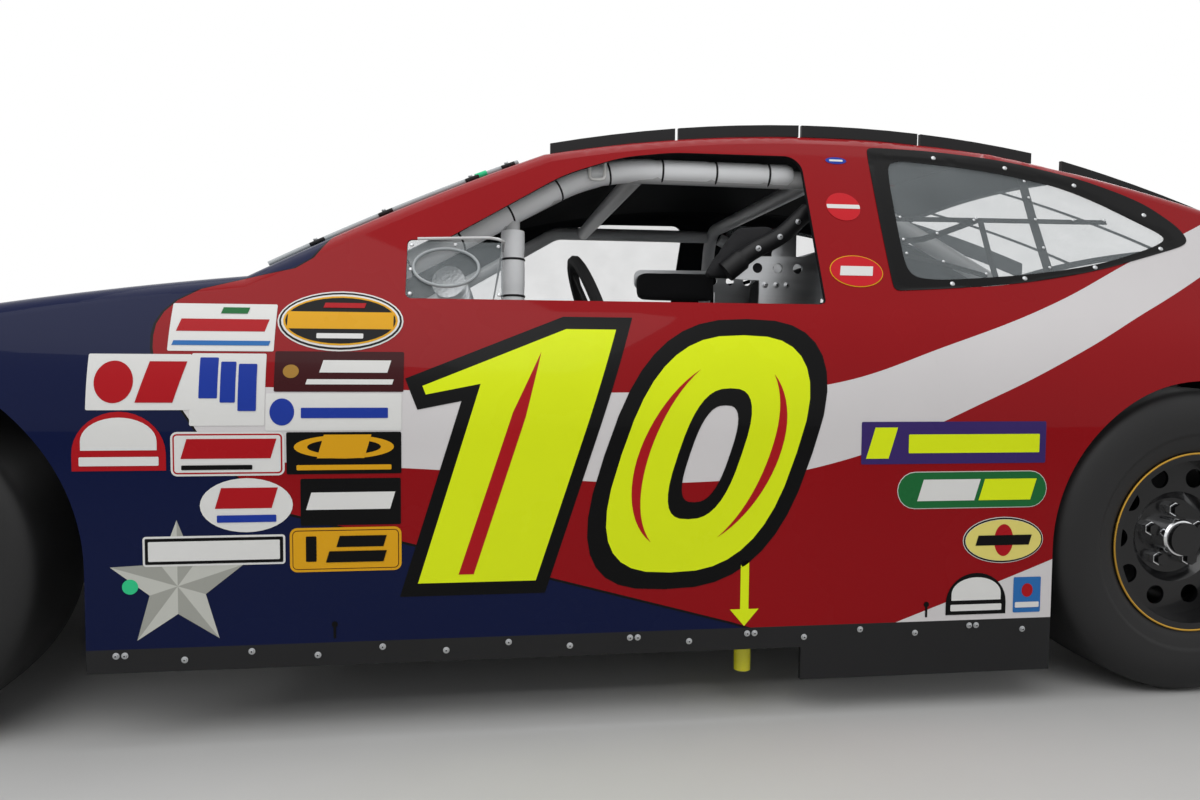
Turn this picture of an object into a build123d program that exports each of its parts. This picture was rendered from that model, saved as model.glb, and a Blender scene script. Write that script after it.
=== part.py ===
from build123d import *
import os
from math import asin, cos, degrees, radians, sin, sqrt, tan

os.makedirs("parts", exist_ok=True)

# Frame: X rearward, Y to the car's right, Z up, origin on the ground at the middle of the length and width.

# Overall size
front_overhang = 1010
wheelbase = 2794
rear_overhang = 1294
half_width = 915
length = front_overhang + wheelbase + rear_overhang
nose_x = -length / 2
tail_x = length / 2
front_axle_x = nose_x + front_overhang
rear_axle_x = front_axle_x + wheelbase

# Fits
fit_gap = 0.3
shut_gap = 6
hinge_gap = 12

# Body surfaces
panel = 12
pane = 5
body_bottom_z = 196
shoulder_z = 737
shoulder_radius = 500
lean_deg = 30.3
splitter_reach = 30
body_front_x = nose_x + splitter_reach
hood_crown = 9000
glass_crown = 5000
roof_crown = 7500
deck_crown = 12000
belt_z = 878
roof_edge_z = 1190
sky_z = 1500
hood_edge_radius = 60
roof_edge_radius = 50
deck_edge_radius = 45

# Stations along the body, from the axles
nose_seam_x = body_front_x + 340
cowl_x = front_axle_x + 579
hood_end_x = front_axle_x + 679
door_front_x = front_axle_x + 739
roof_front_x = front_axle_x + 1289
sail_front_x = rear_axle_x - 875
door_rear_x = rear_axle_x - 635
roof_rear_x = rear_axle_x - 125
tulip_front_x = rear_axle_x + 470
deck_front_x = rear_axle_x + 545
tail_seam_x = rear_axle_x + 995
deck_rear_x = tail_x - 94

# Widths of the top panels
far = half_width + 85
hood_half = half_width - 215
deck_half = half_width - 275
sail_inner_y = half_width - 515
roof_rail_y = half_width - 355
fin_y = half_width - 415

# Wheels and tyres
tyre_radius = 350
tyre_width = 280
bead_radius = 205
wheel_plane_y = half_width - 147
rim_half_width = 127
lug_circle = 127
lug_count = 5
hole_count = 10
hole_circle_r = 143
hole_r = 22
hub_face_y = wheel_plane_y + 38
hub_cap_r = 38
disc_r = 155
front_arch_x = front_axle_x + 30
front_arch_radius = 410
rear_arch_radius = 366
kingpin_y = wheel_plane_y - 118

# Grille in the nose
grille_half = 430
grille_low_z = 240
grille_high_z = 340
grille_bars = 9
grille_bar = 10

# Roof flaps
flap_front_x = rear_axle_x - 561
flap_chord = 210
flap_inner_y = 80
flap_outer_y = half_width - 375

# Butt hinges of hood, deck lid and roof flaps
knuckle_r = 4.5
hinge_pin_r = 2.2
hinge_half = 28
knuckle_half = 9
leaf_reach = 36
leaf_top = 2
leaf_root = 6
hood_hinge_y = 260
lid_hinge_y = 300

# Frame rails
rail_low_z = 130
rail_high_z = 222
side_rail_outer = half_width - 199
side_rail_inner = side_rail_outer - 76
centre_front_x = front_axle_x + 739
centre_rear_x = rear_axle_x - 615
rear_cross_height = 68
clip_front_x = front_axle_x - 701
clip_rail_y = 400
clip_rail_half = 25
clip_low_z = 300
clip_high_z = 390
kick_rail_y = 430
kick_low_z = 500
kick_high_z = 590
cell_front_x = rear_axle_x + 395
cell_rear_x = rear_axle_x + 945

# Roll cage
tube_radius = 22
bend_radius = 90
hoop_x = rear_axle_x - 755
leg_x = front_axle_x + 799
hoop_foot_y = half_width - 215
hoop_waist_y = half_width - 200
hoop_top_y = half_width - 335
hoop_top_z = 1215
cage_top_z = 1196

# Driver's place
driver_y = 505 - half_width
seat_x = hoop_x - 500
wheel_centre = (hoop_x - 555, driver_y + 30, 842)
column_tilt = 20
column_radius = 20

# Engine and drive line
engine_front_x = front_axle_x + 139
engine_rear_x = front_axle_x + 689
gearbox_rear_x = front_axle_x + 1239
engine_top_z = 780
header_x = front_axle_x + 589
exhaust_z = 95
exhaust_radius = 28
jack_x = rear_axle_x - 1045
mid_cross_x = hoop_x - 560

# Centre-line arcs of the top surfaces: start (x, z), end (x, z), radius, crown radius
hood_line = ((front_axle_x - 881, 612), (front_axle_x + 839, 967), 7200, hood_crown)
windshield_line = ((front_axle_x + 634, 950), (front_axle_x + 1359, 1276), 7100, glass_crown)
roof_line = ((front_axle_x + 1139, 1205), (rear_axle_x - 5, 1233), 3390, roof_crown)
backlight_line = ((rear_axle_x - 205, 1279), (rear_axle_x + 505, 1066), 4230, glass_crown)
deck_line = ((rear_axle_x + 395, 1078), (rear_axle_x + 1265, 1062), 30000, deck_crown)
line_overrun = 260

# Openings in the sides: x, z, corner radius
door_window = [
    (front_axle_x + 1032, belt_z, 12), (front_axle_x + 1032, 1005, 10), (front_axle_x + 1114, 1010, 60),
    (front_axle_x + 1374, 1172, 400), (front_axle_x + 1509, 1221, 400), (front_axle_x + 1632, 1238, 500),
    (rear_axle_x - 852, 1240, 40), (rear_axle_x - 863, belt_z, 12)]
vent_pane = [
    (front_axle_x + 1032, belt_z, 12), (front_axle_x + 1032, 1003, 12), (front_axle_x + 1231, 1003, 8),
    (front_axle_x + 1231, belt_z, 8)]
quarter_window = [
    (rear_axle_x - 695, 911, 18), (rear_axle_x - 444, 927, 600), (rear_axle_x - 182, 970, 600),
    (rear_axle_x + 79, 1040, 25), (rear_axle_x - 197, 1197, 200), (rear_axle_x - 468, 1240, 500),
    (rear_axle_x - 683, 1248, 18)]

# Openings in the top: x, y of one half
windshield_opening = [
    (front_axle_x + 649, 0), (front_axle_x + 669, half_width - 465), (front_axle_x + 694, half_width - 175),
    (front_axle_x + 1277, half_width - 330), (front_axle_x + 1277, 0)]
backlight_opening = [
    (roof_rear_x + 5, 0), (roof_rear_x + 5, half_width - 360), (tulip_front_x, deck_half), (tulip_front_x, 0)]


def mirrored(shape):
    """The same shape on the other side of the car."""
    return mirror(shape, about=Plane.XZ)


def rod(start, end, radius):
    """A round bar from one point to another."""
    start, end = Vector(start), Vector(end)
    axis = end - start
    bar = Cylinder(radius, axis.length, align=(Align.CENTER, Align.CENTER, Align.MIN))
    return Plane(origin=start, z_dir=axis) * bar


def block(x0, x1, y0, y1, z0, z1):
    """A box from its two corners, with the y values in either order."""
    size = Box(x1 - x0, abs(y1 - y0), z1 - z0)
    return Pos((x0 + x1) / 2, (y0 + y1) / 2, (z0 + z1) / 2) * size


def bent_tube(points, bend, radius):
    """A tube of straight runs joined by elbows of one bend radius."""
    corners = [Vector(*p) for p in points]
    start = corners[0]
    tube = None
    for before, corner, after in zip(corners, corners[1:], corners[2:]):
        into = (corner - before).normalized()
        out = (after - corner).normalized()
        turn = radians(into.get_angle(out))
        setback = bend * tan(turn / 2)
        run_end = corner - into * setback
        axis = into.cross(out).normalized()
        centre = run_end + axis.cross(into) * bend
        section = Plane(origin=run_end, z_dir=into) * Circle(radius)
        elbow = revolve(section, axis=Axis(centre, axis), revolution_arc=degrees(turn))
        run = rod(start, run_end, radius) + elbow
        tube = run if tube is None else tube + run
        start = corner + out * setback
    return tube + rod(start, corners[-1], radius)


def group(solids):
    """Several solids that don't touch, as one node."""
    return Compound([part.solid() for part in solids])


def side_prism(outline, y0, y1):
    """A prism across the car from an outline of (x, z) points."""
    face = make_face(Polyline(*[(x, 0, z) for x, z in outline], close=True))
    return extrude(Pos(0, min(y0, y1), 0) * face, amount=abs(y1 - y0), dir=(0, 1, 0))


def rounded_prism(outline, y0, y1):
    """A prism across the car from an outline of (x, z, corner radius) points."""
    corners = [(x, 0, z) for x, z, radius in outline]
    edge = FilletPolyline(*corners, radius=[radius for x, z, radius in outline], close=True)
    return extrude(Pos(0, min(y0, y1), 0) * make_face(edge), amount=abs(y1 - y0), dir=(0, 1, 0))


def plan_prism(outline, z0, z1):
    """A prism upwards from an outline of (x, y) points."""
    face = make_face(Polyline(*[(x, y, 0) for x, y in outline], close=True))
    return extrude(Pos(0, 0, z0) * face, amount=z1 - z0, dir=(0, 0, 1))


def both_sides(outline):
    """A closed half outline and its mirror image, as one outline."""
    return outline + [(x, -y) for x, y in reversed(outline) if y]


def arc_centre(start, end, radius):
    """The centre, below the arc, of an arc between two (x, z) points."""
    (x0, z0), (x1, z1) = start, end
    chord = sqrt((x1 - x0) ** 2 + (z1 - z0) ** 2)
    drop = sqrt(radius ** 2 - (chord / 2) ** 2)
    return (x0 + x1) / 2 + drop * (z1 - z0) / chord, (z0 + z1) / 2 - drop * (x1 - x0) / chord


def above_arc(start, end, radius, crown, inset=0):
    """The space above a surface that is an arc in side view and an arc of the crown radius across."""
    centre_x, centre_z = arc_centre(start, end, radius)
    overrun = line_overrun / radius
    turn = asin((start[0] - centre_x) / radius) - overrun
    swept = degrees(asin((end[0] - centre_x) / radius) + overrun - turn)
    top = radius - inset
    reach = half_width + 60
    edge = top - (crown - sqrt(crown ** 2 - reach ** 2))
    outer = top + 900
    crown_arc = ThreePointArc((0, -reach, edge), (0, 0, top), (0, reach, edge))
    rest = Polyline((0, reach, edge), (0, reach, outer), (0, -reach, outer), (0, -reach, edge))
    face = Rot(0, degrees(turn), 0) * make_face([crown_arc, rest])
    solid = revolve(face, axis=Axis((0, 0, 0), (0, 1, 0)), revolution_arc=swept)
    return Pos(centre_x, 0, centre_z) * solid


def on_surface(line, x, y=0):
    """The point of a top surface above (x, y), and the surface's tangent there in side view."""
    start, end, radius, crown = line
    centre_x, centre_z = arc_centre(start, end, radius)
    reach = radius - crown + sqrt(crown ** 2 - y ** 2)
    rise = sqrt(reach ** 2 - (x - centre_x) ** 2)
    return Vector(x, y, centre_z + rise), Vector(rise, 0, centre_x - x).normalized()


def section_prism(inset=0):
    """The body's cross section, run the whole length: upright side, shoulder arc, leaning side."""
    lean = radians(lean_deg)
    w = half_width - inset
    corner_z = shoulder_z - inset * tan(lean / 2)
    r = shoulder_radius - inset
    run = r * tan(lean / 2)
    low = (w, corner_z - run)
    mid = (w - r + r * cos(lean / 2), corner_z - run + r * sin(lean / 2))
    high = (w - run * sin(lean), corner_z + run * cos(lean))
    top = (w - (sky_z - corner_z) * tan(lean), sky_z)
    base = body_bottom_z - (100 if inset else 0)
    edges = []
    for side in (1, -1):
        points = [(0, side * y, z) for y, z in ((w, base), low, mid, high, top)]
        edges += [Line(points[0], points[1]), ThreePointArc(*points[1:4]), Line(points[3], points[4])]
    edges += [Line((0, -w, base), (0, w, base)), Line((0, -top[0], sky_z), (0, top[0], sky_z))]
    return extrude(Pos(nose_x - 10, 0, 0) * make_face(edges), amount=length + 20, dir=(1, 0, 0))


def plan_outline(inset=0):
    """The body seen from above: bowed nose and tail with rounded corners."""
    nose_radius = 1700
    tail_radius = 5000
    nose_corner = 450
    tail_corner = 200
    box_length = tail_x - body_front_x
    box = Pos((body_front_x + tail_x) / 2, 0) * Rectangle(box_length - 2 * inset, 2 * (half_width - inset))
    nose_centre = body_front_x + nose_radius
    nose_disc = Pos(nose_centre, 0) * Circle(nose_radius - inset)
    middle = Pos(nose_centre + box_length / 2, 0) * Rectangle(box_length, 2 * half_width + 200)
    tail_disc = Pos(tail_x - tail_radius, 0) * Circle(tail_radius - inset)
    face = (box & (nose_disc + middle)) & tail_disc
    face = fillet(face.vertices().sort_by(Axis.X)[:2], radius=nose_corner - inset)
    face = fillet(face.vertices().sort_by(Axis.X)[-2:], radius=tail_corner - inset)
    return extrude(face, amount=sky_z + 100, dir=(0, 0, 1))


def end_profile(inset=0):
    """The side view's nose and tail curves, as a prism across the car."""
    nose_r = 260 - inset
    nose_arc_z = 398
    nose_slope = radians(17)
    x0 = body_front_x + inset
    x1 = tail_x - inset
    mid_a = nose_slope / 2 + radians(45)
    cx = x0 + nose_r
    arc = ThreePointArc(
        (x0, 0, nose_arc_z),
        (cx - nose_r * sin(mid_a), 0, nose_arc_z + nose_r * cos(mid_a)),
        (cx - nose_r * sin(nose_slope), 0, nose_arc_z + nose_r * cos(nose_slope)))
    end_x, end_z = cx - nose_r * sin(nose_slope), nose_arc_z + nose_r * cos(nose_slope)
    low = 0 if not inset else -100
    high = sky_z + 100
    lip_x = deck_rear_x + 40 - inset
    rest = Polyline(
        (end_x, 0, end_z), (end_x + 300, 0, end_z + 300 * tan(nose_slope) + 4), (end_x + 320, 0, high),
        (lip_x, 0, high), (lip_x, 0, 1030), (x1 - 20, 0, 760), (x1, 0, 640), (x1, 0, 430), (x1 - 60, 0, 235),
        (x1 - 60, 0, low), (x0 + 25, 0, low), (x0, 0, 250), (x0, 0, nose_arc_z))
    return extrude(Pos(0, -far, 0) * make_face([arc, rest]), amount=2 * far, dir=(0, 1, 0))


def crease_edges(shape, lowest):
    """The long edges where a top surface meets the leaning sides, above the shoulder's own lines."""
    lean = radians(lean_deg)
    shoulder_line = shoulder_z + shoulder_radius * tan(lean / 2) * cos(lean)
    found = []
    for edge in shape.edges():
        middle = edge.center()
        on_shoulder = abs(middle.Z - shoulder_line) < 12
        if edge.bounding_box().size.X > 300 and middle.Z > lowest and not on_shoulder:
            found.append(edge)
    return found


def body_solid(inset=0):
    """The whole body as one solid, set in by the inset, with its long creases rounded."""
    low = body_bottom_z - (100 if inset else 0)
    side = half_width + 30
    section = section_prism(inset)
    front = block(nose_x, hood_end_x + 160, -side, side, low, sky_z) - above_arc(*hood_line, inset=inset)
    front = front & section
    front = fillet(crease_edges(front, shoulder_z - 50), hood_edge_radius - inset)
    cabin = block(cowl_x - 40, tulip_front_x + 135, -side, side, low, sky_z)
    for line in (windshield_line, roof_line, backlight_line):
        cabin = cabin - above_arc(*line, inset=inset)
    cabin = cabin & section
    roof_ends = [e for e in cabin.edges() if e.bounding_box().size.Y > half_width and e.center().Z > roof_edge_z]
    cabin = fillet(crease_edges(cabin, shoulder_z + 60) + roof_ends, roof_edge_radius - inset)
    rear = block(tulip_front_x - 165, tail_x, -side, side, low, sky_z) - above_arc(*deck_line, inset=inset)
    rear = rear & section
    rear = fillet(crease_edges(rear, shoulder_z + 150), deck_edge_radius - inset)
    return (front + cabin + rear) & plan_outline(inset) & end_profile(inset)


def glass_skin(line, outline):
    """A pane in a top surface, cut to its opening."""
    skin = above_arc(*line, inset=pane) - above_arc(*line)
    return skin & plan_prism(both_sides(outline), belt_z - 78, sky_z)


def side_skin(outline, side):
    """A pane in the leaning side, cut to its opening."""
    skin = section_prism(1) - section_prism(1 + pane)
    return (skin & rounded_prism(outline, 0, side * far)).solid()


def butt_hinge(place):
    """A butt hinge in its own place, axis along Y: the fixed leaf with the pin, and the moving leaf towards +X."""
    clear_r = knuckle_r + 1
    inner = knuckle_half + fit_gap
    pin = rod((0, -hinge_half, 0), (0, hinge_half, 0), hinge_pin_r)
    fixed = block(-leaf_reach, -2, -hinge_half, hinge_half, -leaf_root, leaf_top)
    fixed = fixed - rod((0, -inner - 1, 0), (0, inner + 1, 0), clear_r)
    moving = block(2, leaf_reach, -hinge_half, hinge_half, -leaf_root, leaf_top)
    for side in (-1, 1):
        fixed = fixed + rod((0, side * inner, 0), (0, side * hinge_half, 0), knuckle_r)
        moving = moving - rod((0, side * (knuckle_half - fit_gap), 0), (0, side * (hinge_half + 1), 0), clear_r)
    moving = moving + rod((0, -knuckle_half, 0), (0, knuckle_half, 0), knuckle_r)
    moving = moving - rod((0, -knuckle_half - 1, 0), (0, knuckle_half + 1, 0), hinge_pin_r + fit_gap)
    return place * (fixed + pin), place * moving


def add_hinges(nodes):
    """Joins the leaves of all hinges to the panels that they carry."""
    across = Vector(0, 1, 0)
    flap_width = flap_outer_y - flap_inner_y
    hinges = []
    for name, side in (("left", -1), ("right", 1)):
        place, tangent = on_surface(hood_line, cowl_x - hinge_gap / 2, side * hood_hinge_y)
        hinges.append(("windshield_frame", "hood", place, -tangent, tangent.cross(across)))
        place, tangent = on_surface(deck_line, deck_front_x + hinge_gap / 2, side * lid_hinge_y)
        hinges.append(("tulip_panel", "deck_lid", place, tangent, tangent.cross(across)))
        near, tangent = on_surface(roof_line, flap_front_x, side * (flap_inner_y + flap_width / 4))
        outer, tangent = on_surface(roof_line, flap_front_x, side * (flap_outer_y - flap_width / 4))
        normal = tangent.cross((outer - near).normalized() * side)
        hinges.append(("roof", "roof_flap_" + name, near, tangent, normal))
        hinges.append(("roof", "roof_flap_" + name, outer, tangent, normal))
    for fixed_name, moving_name, place, towards, normal in hinges:
        fixed, moving = butt_hinge(Plane(place, x_dir=towards, z_dir=normal))
        nodes[fixed_name] = nodes[fixed_name] + fixed
        nodes[moving_name] = nodes[moving_name] + moving


def grille_hole():
    """The grille's opening, with its upright bars and one cross bar left standing."""
    x0, x1 = nose_x, nose_x + 149
    hole = block(x0, x1, -grille_half, grille_half, grille_low_z, grille_high_z)
    pitch = 2 * grille_half / (grille_bars + 1)
    for i in range(grille_bars):
        y = pitch * (i + 1) - grille_half
        hole = hole - block(x0, x1, y - grille_bar / 2, y + grille_bar / 2, grille_low_z, grille_high_z)
    cross_z = (grille_low_z + grille_high_z - grille_bar) / 2
    return hole - block(x0, x1, -grille_half, grille_half, cross_z, cross_z + grille_bar)


def body_shell():
    """The body's skin with its wheel arches and window openings."""
    shell = body_solid() - body_solid(panel)
    for side in (-1, 1):
        for x, radius in ((front_arch_x, front_arch_radius), (rear_axle_x, rear_arch_radius)):
            arch = rod((x, side * far / 2, tyre_radius), (x, side * far, tyre_radius), radius)
            slot = block(x - radius, x + radius, side * far / 2, side * far, 0, tyre_radius)
            shell = shell - arch - slot
        shell = shell - rounded_prism(door_window, 0, side * far)
        shell = shell - rounded_prism(quarter_window, 0, side * far)
    shell = shell - plan_prism(both_sides(windshield_opening), belt_z - 78, sky_z)
    return shell - plan_prism(both_sides(backlight_opening), belt_z - 78, sky_z)


def body_panels():
    """The body's skin, cut where the real panels meet, with the hinges of its lids and flaps."""
    shell = body_shell()
    nodes = {}
    nodes["nose"] = (shell & block(nose_x, nose_seam_x, -far, far, 0, far)) - grille_hole()
    inner = hood_half - shut_gap
    nodes["hood"] = shell & block(nose_seam_x + shut_gap, cowl_x - hinge_gap, -inner, inner, 500, far)
    cowl = block(cowl_x, door_front_x, -far, far, belt_z, sky_z)
    posts = block(door_front_x, roof_front_x, -far, far, belt_z, sky_z)
    nodes["windshield_frame"] = shell & (cowl + posts)
    tulip = block(tulip_front_x, deck_front_x, -deck_half, deck_half, belt_z, sky_z)
    lid_hole = block(deck_front_x - 1, deck_rear_x, -deck_half, deck_half, belt_z, sky_z)
    for name, side in (("left", -1), ("right", 1)):
        front = block(nose_seam_x, cowl_x, side * hood_half, side * far, 0, far)
        low = block(cowl_x, door_front_x, side * hood_half, side * far, 0, belt_z)
        nodes["fender_" + name] = shell & (front + low)
        nodes["side_panel_" + name] = shell & block(door_front_x, door_rear_x, 0, side * far, 0, belt_z)
        sail = block(sail_front_x, roof_rear_x, side * sail_inner_y, side * far, belt_z, roof_edge_z)
        sail = sail + block(roof_rear_x, deck_front_x, side * sail_inner_y, side * far, belt_z, sky_z)
        nodes["sail_panel_" + name] = (shell & sail) - tulip
        quarter = block(door_rear_x, deck_front_x, 0, side * far, 0, belt_z)
        quarter = quarter + block(deck_front_x, tail_seam_x, 0, side * far, 0, sky_z)
        nodes["quarter_panel_" + name] = (shell & quarter) - lid_hole
    nodes["tulip_panel"] = shell & tulip
    nodes["tail"] = (shell & block(tail_seam_x, tail_x, -far, far, 0, sky_z)) - lid_hole
    inner = deck_half - shut_gap
    lid = block(deck_front_x + hinge_gap, deck_rear_x - shut_gap, -inner, inner, belt_z, sky_z)
    nodes["deck_lid"] = shell & lid
    roof = block(roof_front_x, sail_front_x, -far, far, belt_z, sky_z)
    roof = shell & (roof + block(sail_front_x, roof_rear_x, -far, far, roof_edge_z, sky_z))
    for name, side in (("left", -1), ("right", 1)):
        hole = block(flap_front_x - hinge_gap / 2, flap_front_x + flap_chord, side * (flap_inner_y - shut_gap),
                     side * (flap_outer_y + shut_gap), belt_z, sky_z)
        flap = block(flap_front_x + hinge_gap / 2, flap_front_x + flap_chord - shut_gap, side * flap_inner_y,
                     side * flap_outer_y, belt_z, sky_z)
        nodes["roof_flap_" + name] = roof & flap
        roof = roof - hole
    nodes["roof"] = roof
    add_hinges(nodes)
    return nodes


def glazing():
    """The panes, each in its opening."""
    return {
        "windshield": glass_skin(windshield_line, windshield_opening),
        "rear_window": glass_skin(backlight_line, backlight_opening),
        "side_windows": Compound([
            side_skin(quarter_window, -1), side_skin(quarter_window, 1),
            side_skin(door_window, 1), side_skin(vent_pane, -1)]),
    }


def aero():
    """Roof rails, window fins, spoiler with gussets, splitter with air dam, and skirts."""
    rail_half = 6
    rails = []
    rail_front_x = roof_front_x + 60
    rail_runs = 4
    rail_break = 8
    rail_run = (roof_rear_x - 88 - rail_front_x) / rail_runs
    for side in (-1, 1):
        rib = above_arc(*roof_line, inset=-fit_gap) - above_arc(*roof_line, inset=-28)
        inner, outer = side * (roof_rail_y - rail_half), side * (roof_rail_y + rail_half)
        for i in range(rail_runs):
            start = rail_front_x + i * rail_run
            rails.append(rib & block(start, start + rail_run - rail_break, inner, outer, roof_edge_z, sky_z))
        rib = above_arc(*backlight_line, inset=-fit_gap) - above_arc(*backlight_line, inset=-50)
        inner, outer = side * (fin_y - rail_half), side * (fin_y + rail_half)
        rails.append(rib & block(roof_rear_x + 30, tulip_front_x - 25, inner, outer, belt_z, sky_z))
    blade_half = deck_half - 20
    blade = [(tail_x - 136, 1040), (tail_x - 121, 1040), (tail_x - 49, 1195), (tail_x - 55, 1198)]
    spoiler = side_prism(blade, -blade_half, blade_half)
    for i in range(5):
        y = (blade_half - 40) * (i - 2) / 2
        gusset = [(tail_x - 128, 1040), (deck_rear_x - shut_gap - 1, 1040), (tail_x - 86, 1118)]
        spoiler = spoiler + side_prism(gusset, y - 3, y + 3)
    spoiler = spoiler & above_arc(*deck_line, inset=-fit_gap)
    splitter_half = half_width - 15
    plate_z = 100
    plate = block(nose_x - 10, nose_seam_x + 29, -splitter_half, splitter_half, plate_z, plate_z + 12)
    splitter = plan_outline(-splitter_reach) & plate
    dam = plan_outline() - plan_outline(panel)
    splitter = splitter + (dam & block(nose_x, nose_seam_x, -far, far, plate_z + 12, body_bottom_z))
    skirts = []
    front_x = front_arch_x + front_arch_radius
    rear_x = rear_axle_x - rear_arch_radius
    for side in (-1, 1):
        inner, outer = side * (half_width - panel), side * half_width
        skirt = block(front_x, rear_x, inner, outer, 150, body_bottom_z)
        skirts.append(skirt + block(jack_x + 108, rear_x, inner, outer, 80, 150))
    notch_x = exhaust_route()[-1][0]
    notch = rod((notch_x, half_width - 60, exhaust_z), (notch_x, far, exhaust_z), exhaust_radius + 12)
    skirts[1] = skirts[1] - notch
    return {"roof_rails": group(rails), "spoiler": spoiler, "splitter": splitter, "side_skirts": group(skirts)}


def frame():
    """The chassis rails and cross members, in three sections."""
    half, top = side_rail_inner, rail_high_z
    centre = block(centre_front_x, centre_front_x + 80, -half, half, rail_low_z, top)
    centre = centre + block(mid_cross_x, mid_cross_x + 60, -half, half, rail_low_z, top - 22)
    half = side_rail_outer
    centre = centre + block(centre_rear_x - 80, centre_rear_x, -half, half, top, top + rear_cross_height)
    front = block(front_axle_x - 40, front_axle_x + 40, -clip_rail_y, clip_rail_y, clip_low_z - 85, clip_low_z)
    front = front + block(clip_front_x, clip_front_x + 40, -clip_rail_y, clip_rail_y, clip_low_z - 60, clip_low_z)
    rear = block(cell_rear_x + 10, cell_rear_x + 50, -kick_rail_y, kick_rail_y, kick_low_z, kick_high_z)
    rear = rear + block(rear_axle_x + 165, rear_axle_x + 225, -kick_rail_y, kick_rail_y, kick_low_z, kick_high_z)
    for side in (-1, 1):
        inner, outer = side * side_rail_inner, side * side_rail_outer
        centre = centre + block(centre_front_x, centre_rear_x, inner, outer, rail_low_z, top)
        inner, outer = side * (clip_rail_y - clip_rail_half), side * (clip_rail_y + clip_rail_half)
        front = front + block(clip_front_x, centre_front_x, inner, outer, clip_low_z, clip_high_z)
        front = front + block(centre_front_x - 40, centre_front_x, inner, outer, rail_low_z, clip_high_z)
        inner, outer = side * (kick_rail_y - clip_rail_half), side * (kick_rail_y + clip_rail_half)
        rear = rear + block(centre_rear_x, cell_rear_x + 50, inner, outer, kick_low_z, kick_high_z)
        rear = rear + block(centre_rear_x, centre_rear_x + 60, inner, outer, top + 8, kick_low_z)
    return {"frame_centre": centre, "frame_front": front, "frame_rear": rear}


def floor_and_bulkheads():
    """Floor pan with tunnel, front firewall and rear bulkhead with shelf."""
    floor_x0, floor_x1 = centre_front_x + 12, centre_rear_x - 82
    floor_half = side_rail_inner + 30
    tunnel_half = 176
    tunnel_z = 480
    sheet = 6
    wall_half = half_width - 215
    low_z = rail_high_z
    bore = block(centre_front_x - 10, centre_rear_x, sheet - tunnel_half, tunnel_half - sheet, 200, tunnel_z - sheet)
    pan = block(floor_x0, floor_x1, -floor_half, floor_half, low_z, low_z + sheet)
    pan = pan + block(floor_x0, floor_x1, -tunnel_half, tunnel_half, low_z, tunnel_z) - bore
    wall = block(centre_front_x, centre_front_x + 10, -wall_half, wall_half, low_z, belt_z - 8) - bore
    bulkhead_x = centre_rear_x + 6
    shelf_z = belt_z + 2
    rear = block(bulkhead_x, bulkhead_x + 10, -wall_half, wall_half, rail_high_z + rear_cross_height, shelf_z + 10)
    rear = rear - block(bulkhead_x - 6, bulkhead_x + 14, -100, 100, 280, 450)
    shelf_half = half_width - 295
    shelf = block(bulkhead_x, cell_front_x - 10, -shelf_half, shelf_half, shelf_z, shelf_z + 10)
    for side in (-1, 1):
        shelf = shelf - rod(*brace_ends(side), tube_radius + 10)
        inner, outer = side * (kick_rail_y - 30), side * (kick_rail_y + 30)
        rear = rear - block(bulkhead_x - 6, bulkhead_x + 14, inner, outer, 280, kick_high_z + 5)
    return {"floor_pan": pan, "firewall": wall, "rear_bulkhead": rear + shelf}


def brace_ends(side):
    """The ends of a rear cage brace, from the main hoop down to the rear rail."""
    start = (hoop_x + tube_radius + fit_gap, side * (hoop_top_y - 40), hoop_top_z - 30)
    return start, (cell_front_x + 40, side * kick_rail_y, kick_high_z + 20)


def cage():
    """The roll cage: bent tubes, with straight bars that end on them."""
    seat = tube_radius + fit_gap
    half = [(hoop_foot_y, rail_high_z + 1), (hoop_waist_y, 800), (hoop_top_y, hoop_top_z)]
    route = [(hoop_x, y, z) for y, z in half] + [(hoop_x, -y, z) for y, z in reversed(half)]
    hoop = bent_tube(route, bend_radius + 20, tube_radius)
    bar_y = hoop_waist_y - 6 - seat
    hoop_parts = [hoop, rod((hoop_x, -bar_y, 700), (hoop_x, bar_y, 700), tube_radius)]
    front = []
    braces = []
    bars = []
    post_y = half_width - 180
    for side in (-1, 1):
        run = [
            (hoop_x - seat, side * (hoop_top_y - 20), cage_top_z - 1),
            (front_axle_x + 1459, side * (hoop_top_y - 10), cage_top_z),
            (front_axle_x + 1109, side * (half_width - 265), 1000),
            (leg_x, side * post_y, 830), (leg_x, side * hoop_foot_y, rail_high_z + 2)]
        front.append(bent_tube(run, bend_radius, tube_radius))
        braces.append(rod(*brace_ends(side), tube_radius))
        bar = side * (half_width - 211)
        for z in (330, 430, 530, 640):
            bars.append(rod((leg_x + seat, bar, z), (hoop_x - seat, bar, z), tube_radius))
    top_y = hoop_top_y - 14 - seat
    top_x = front_axle_x + 1559
    front.append(rod((top_x, -top_y, cage_top_z), (top_x, top_y, cage_top_z), tube_radius))
    dash_bar_y = post_y - 7 - seat
    front.append(rod((leg_x, -dash_bar_y, 720), (leg_x, dash_bar_y, 720), tube_radius))
    post_x = front_axle_x + 1259
    front.append(rod((post_x, 265 - half_width, 662.5), (post_x, 293 - half_width, 1066), 16))
    return {"cage_hoop": group(hoop_parts), "cage_front": group(front), "cage_rear": group(braces),
            "door_bars": group(bars)}


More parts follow.
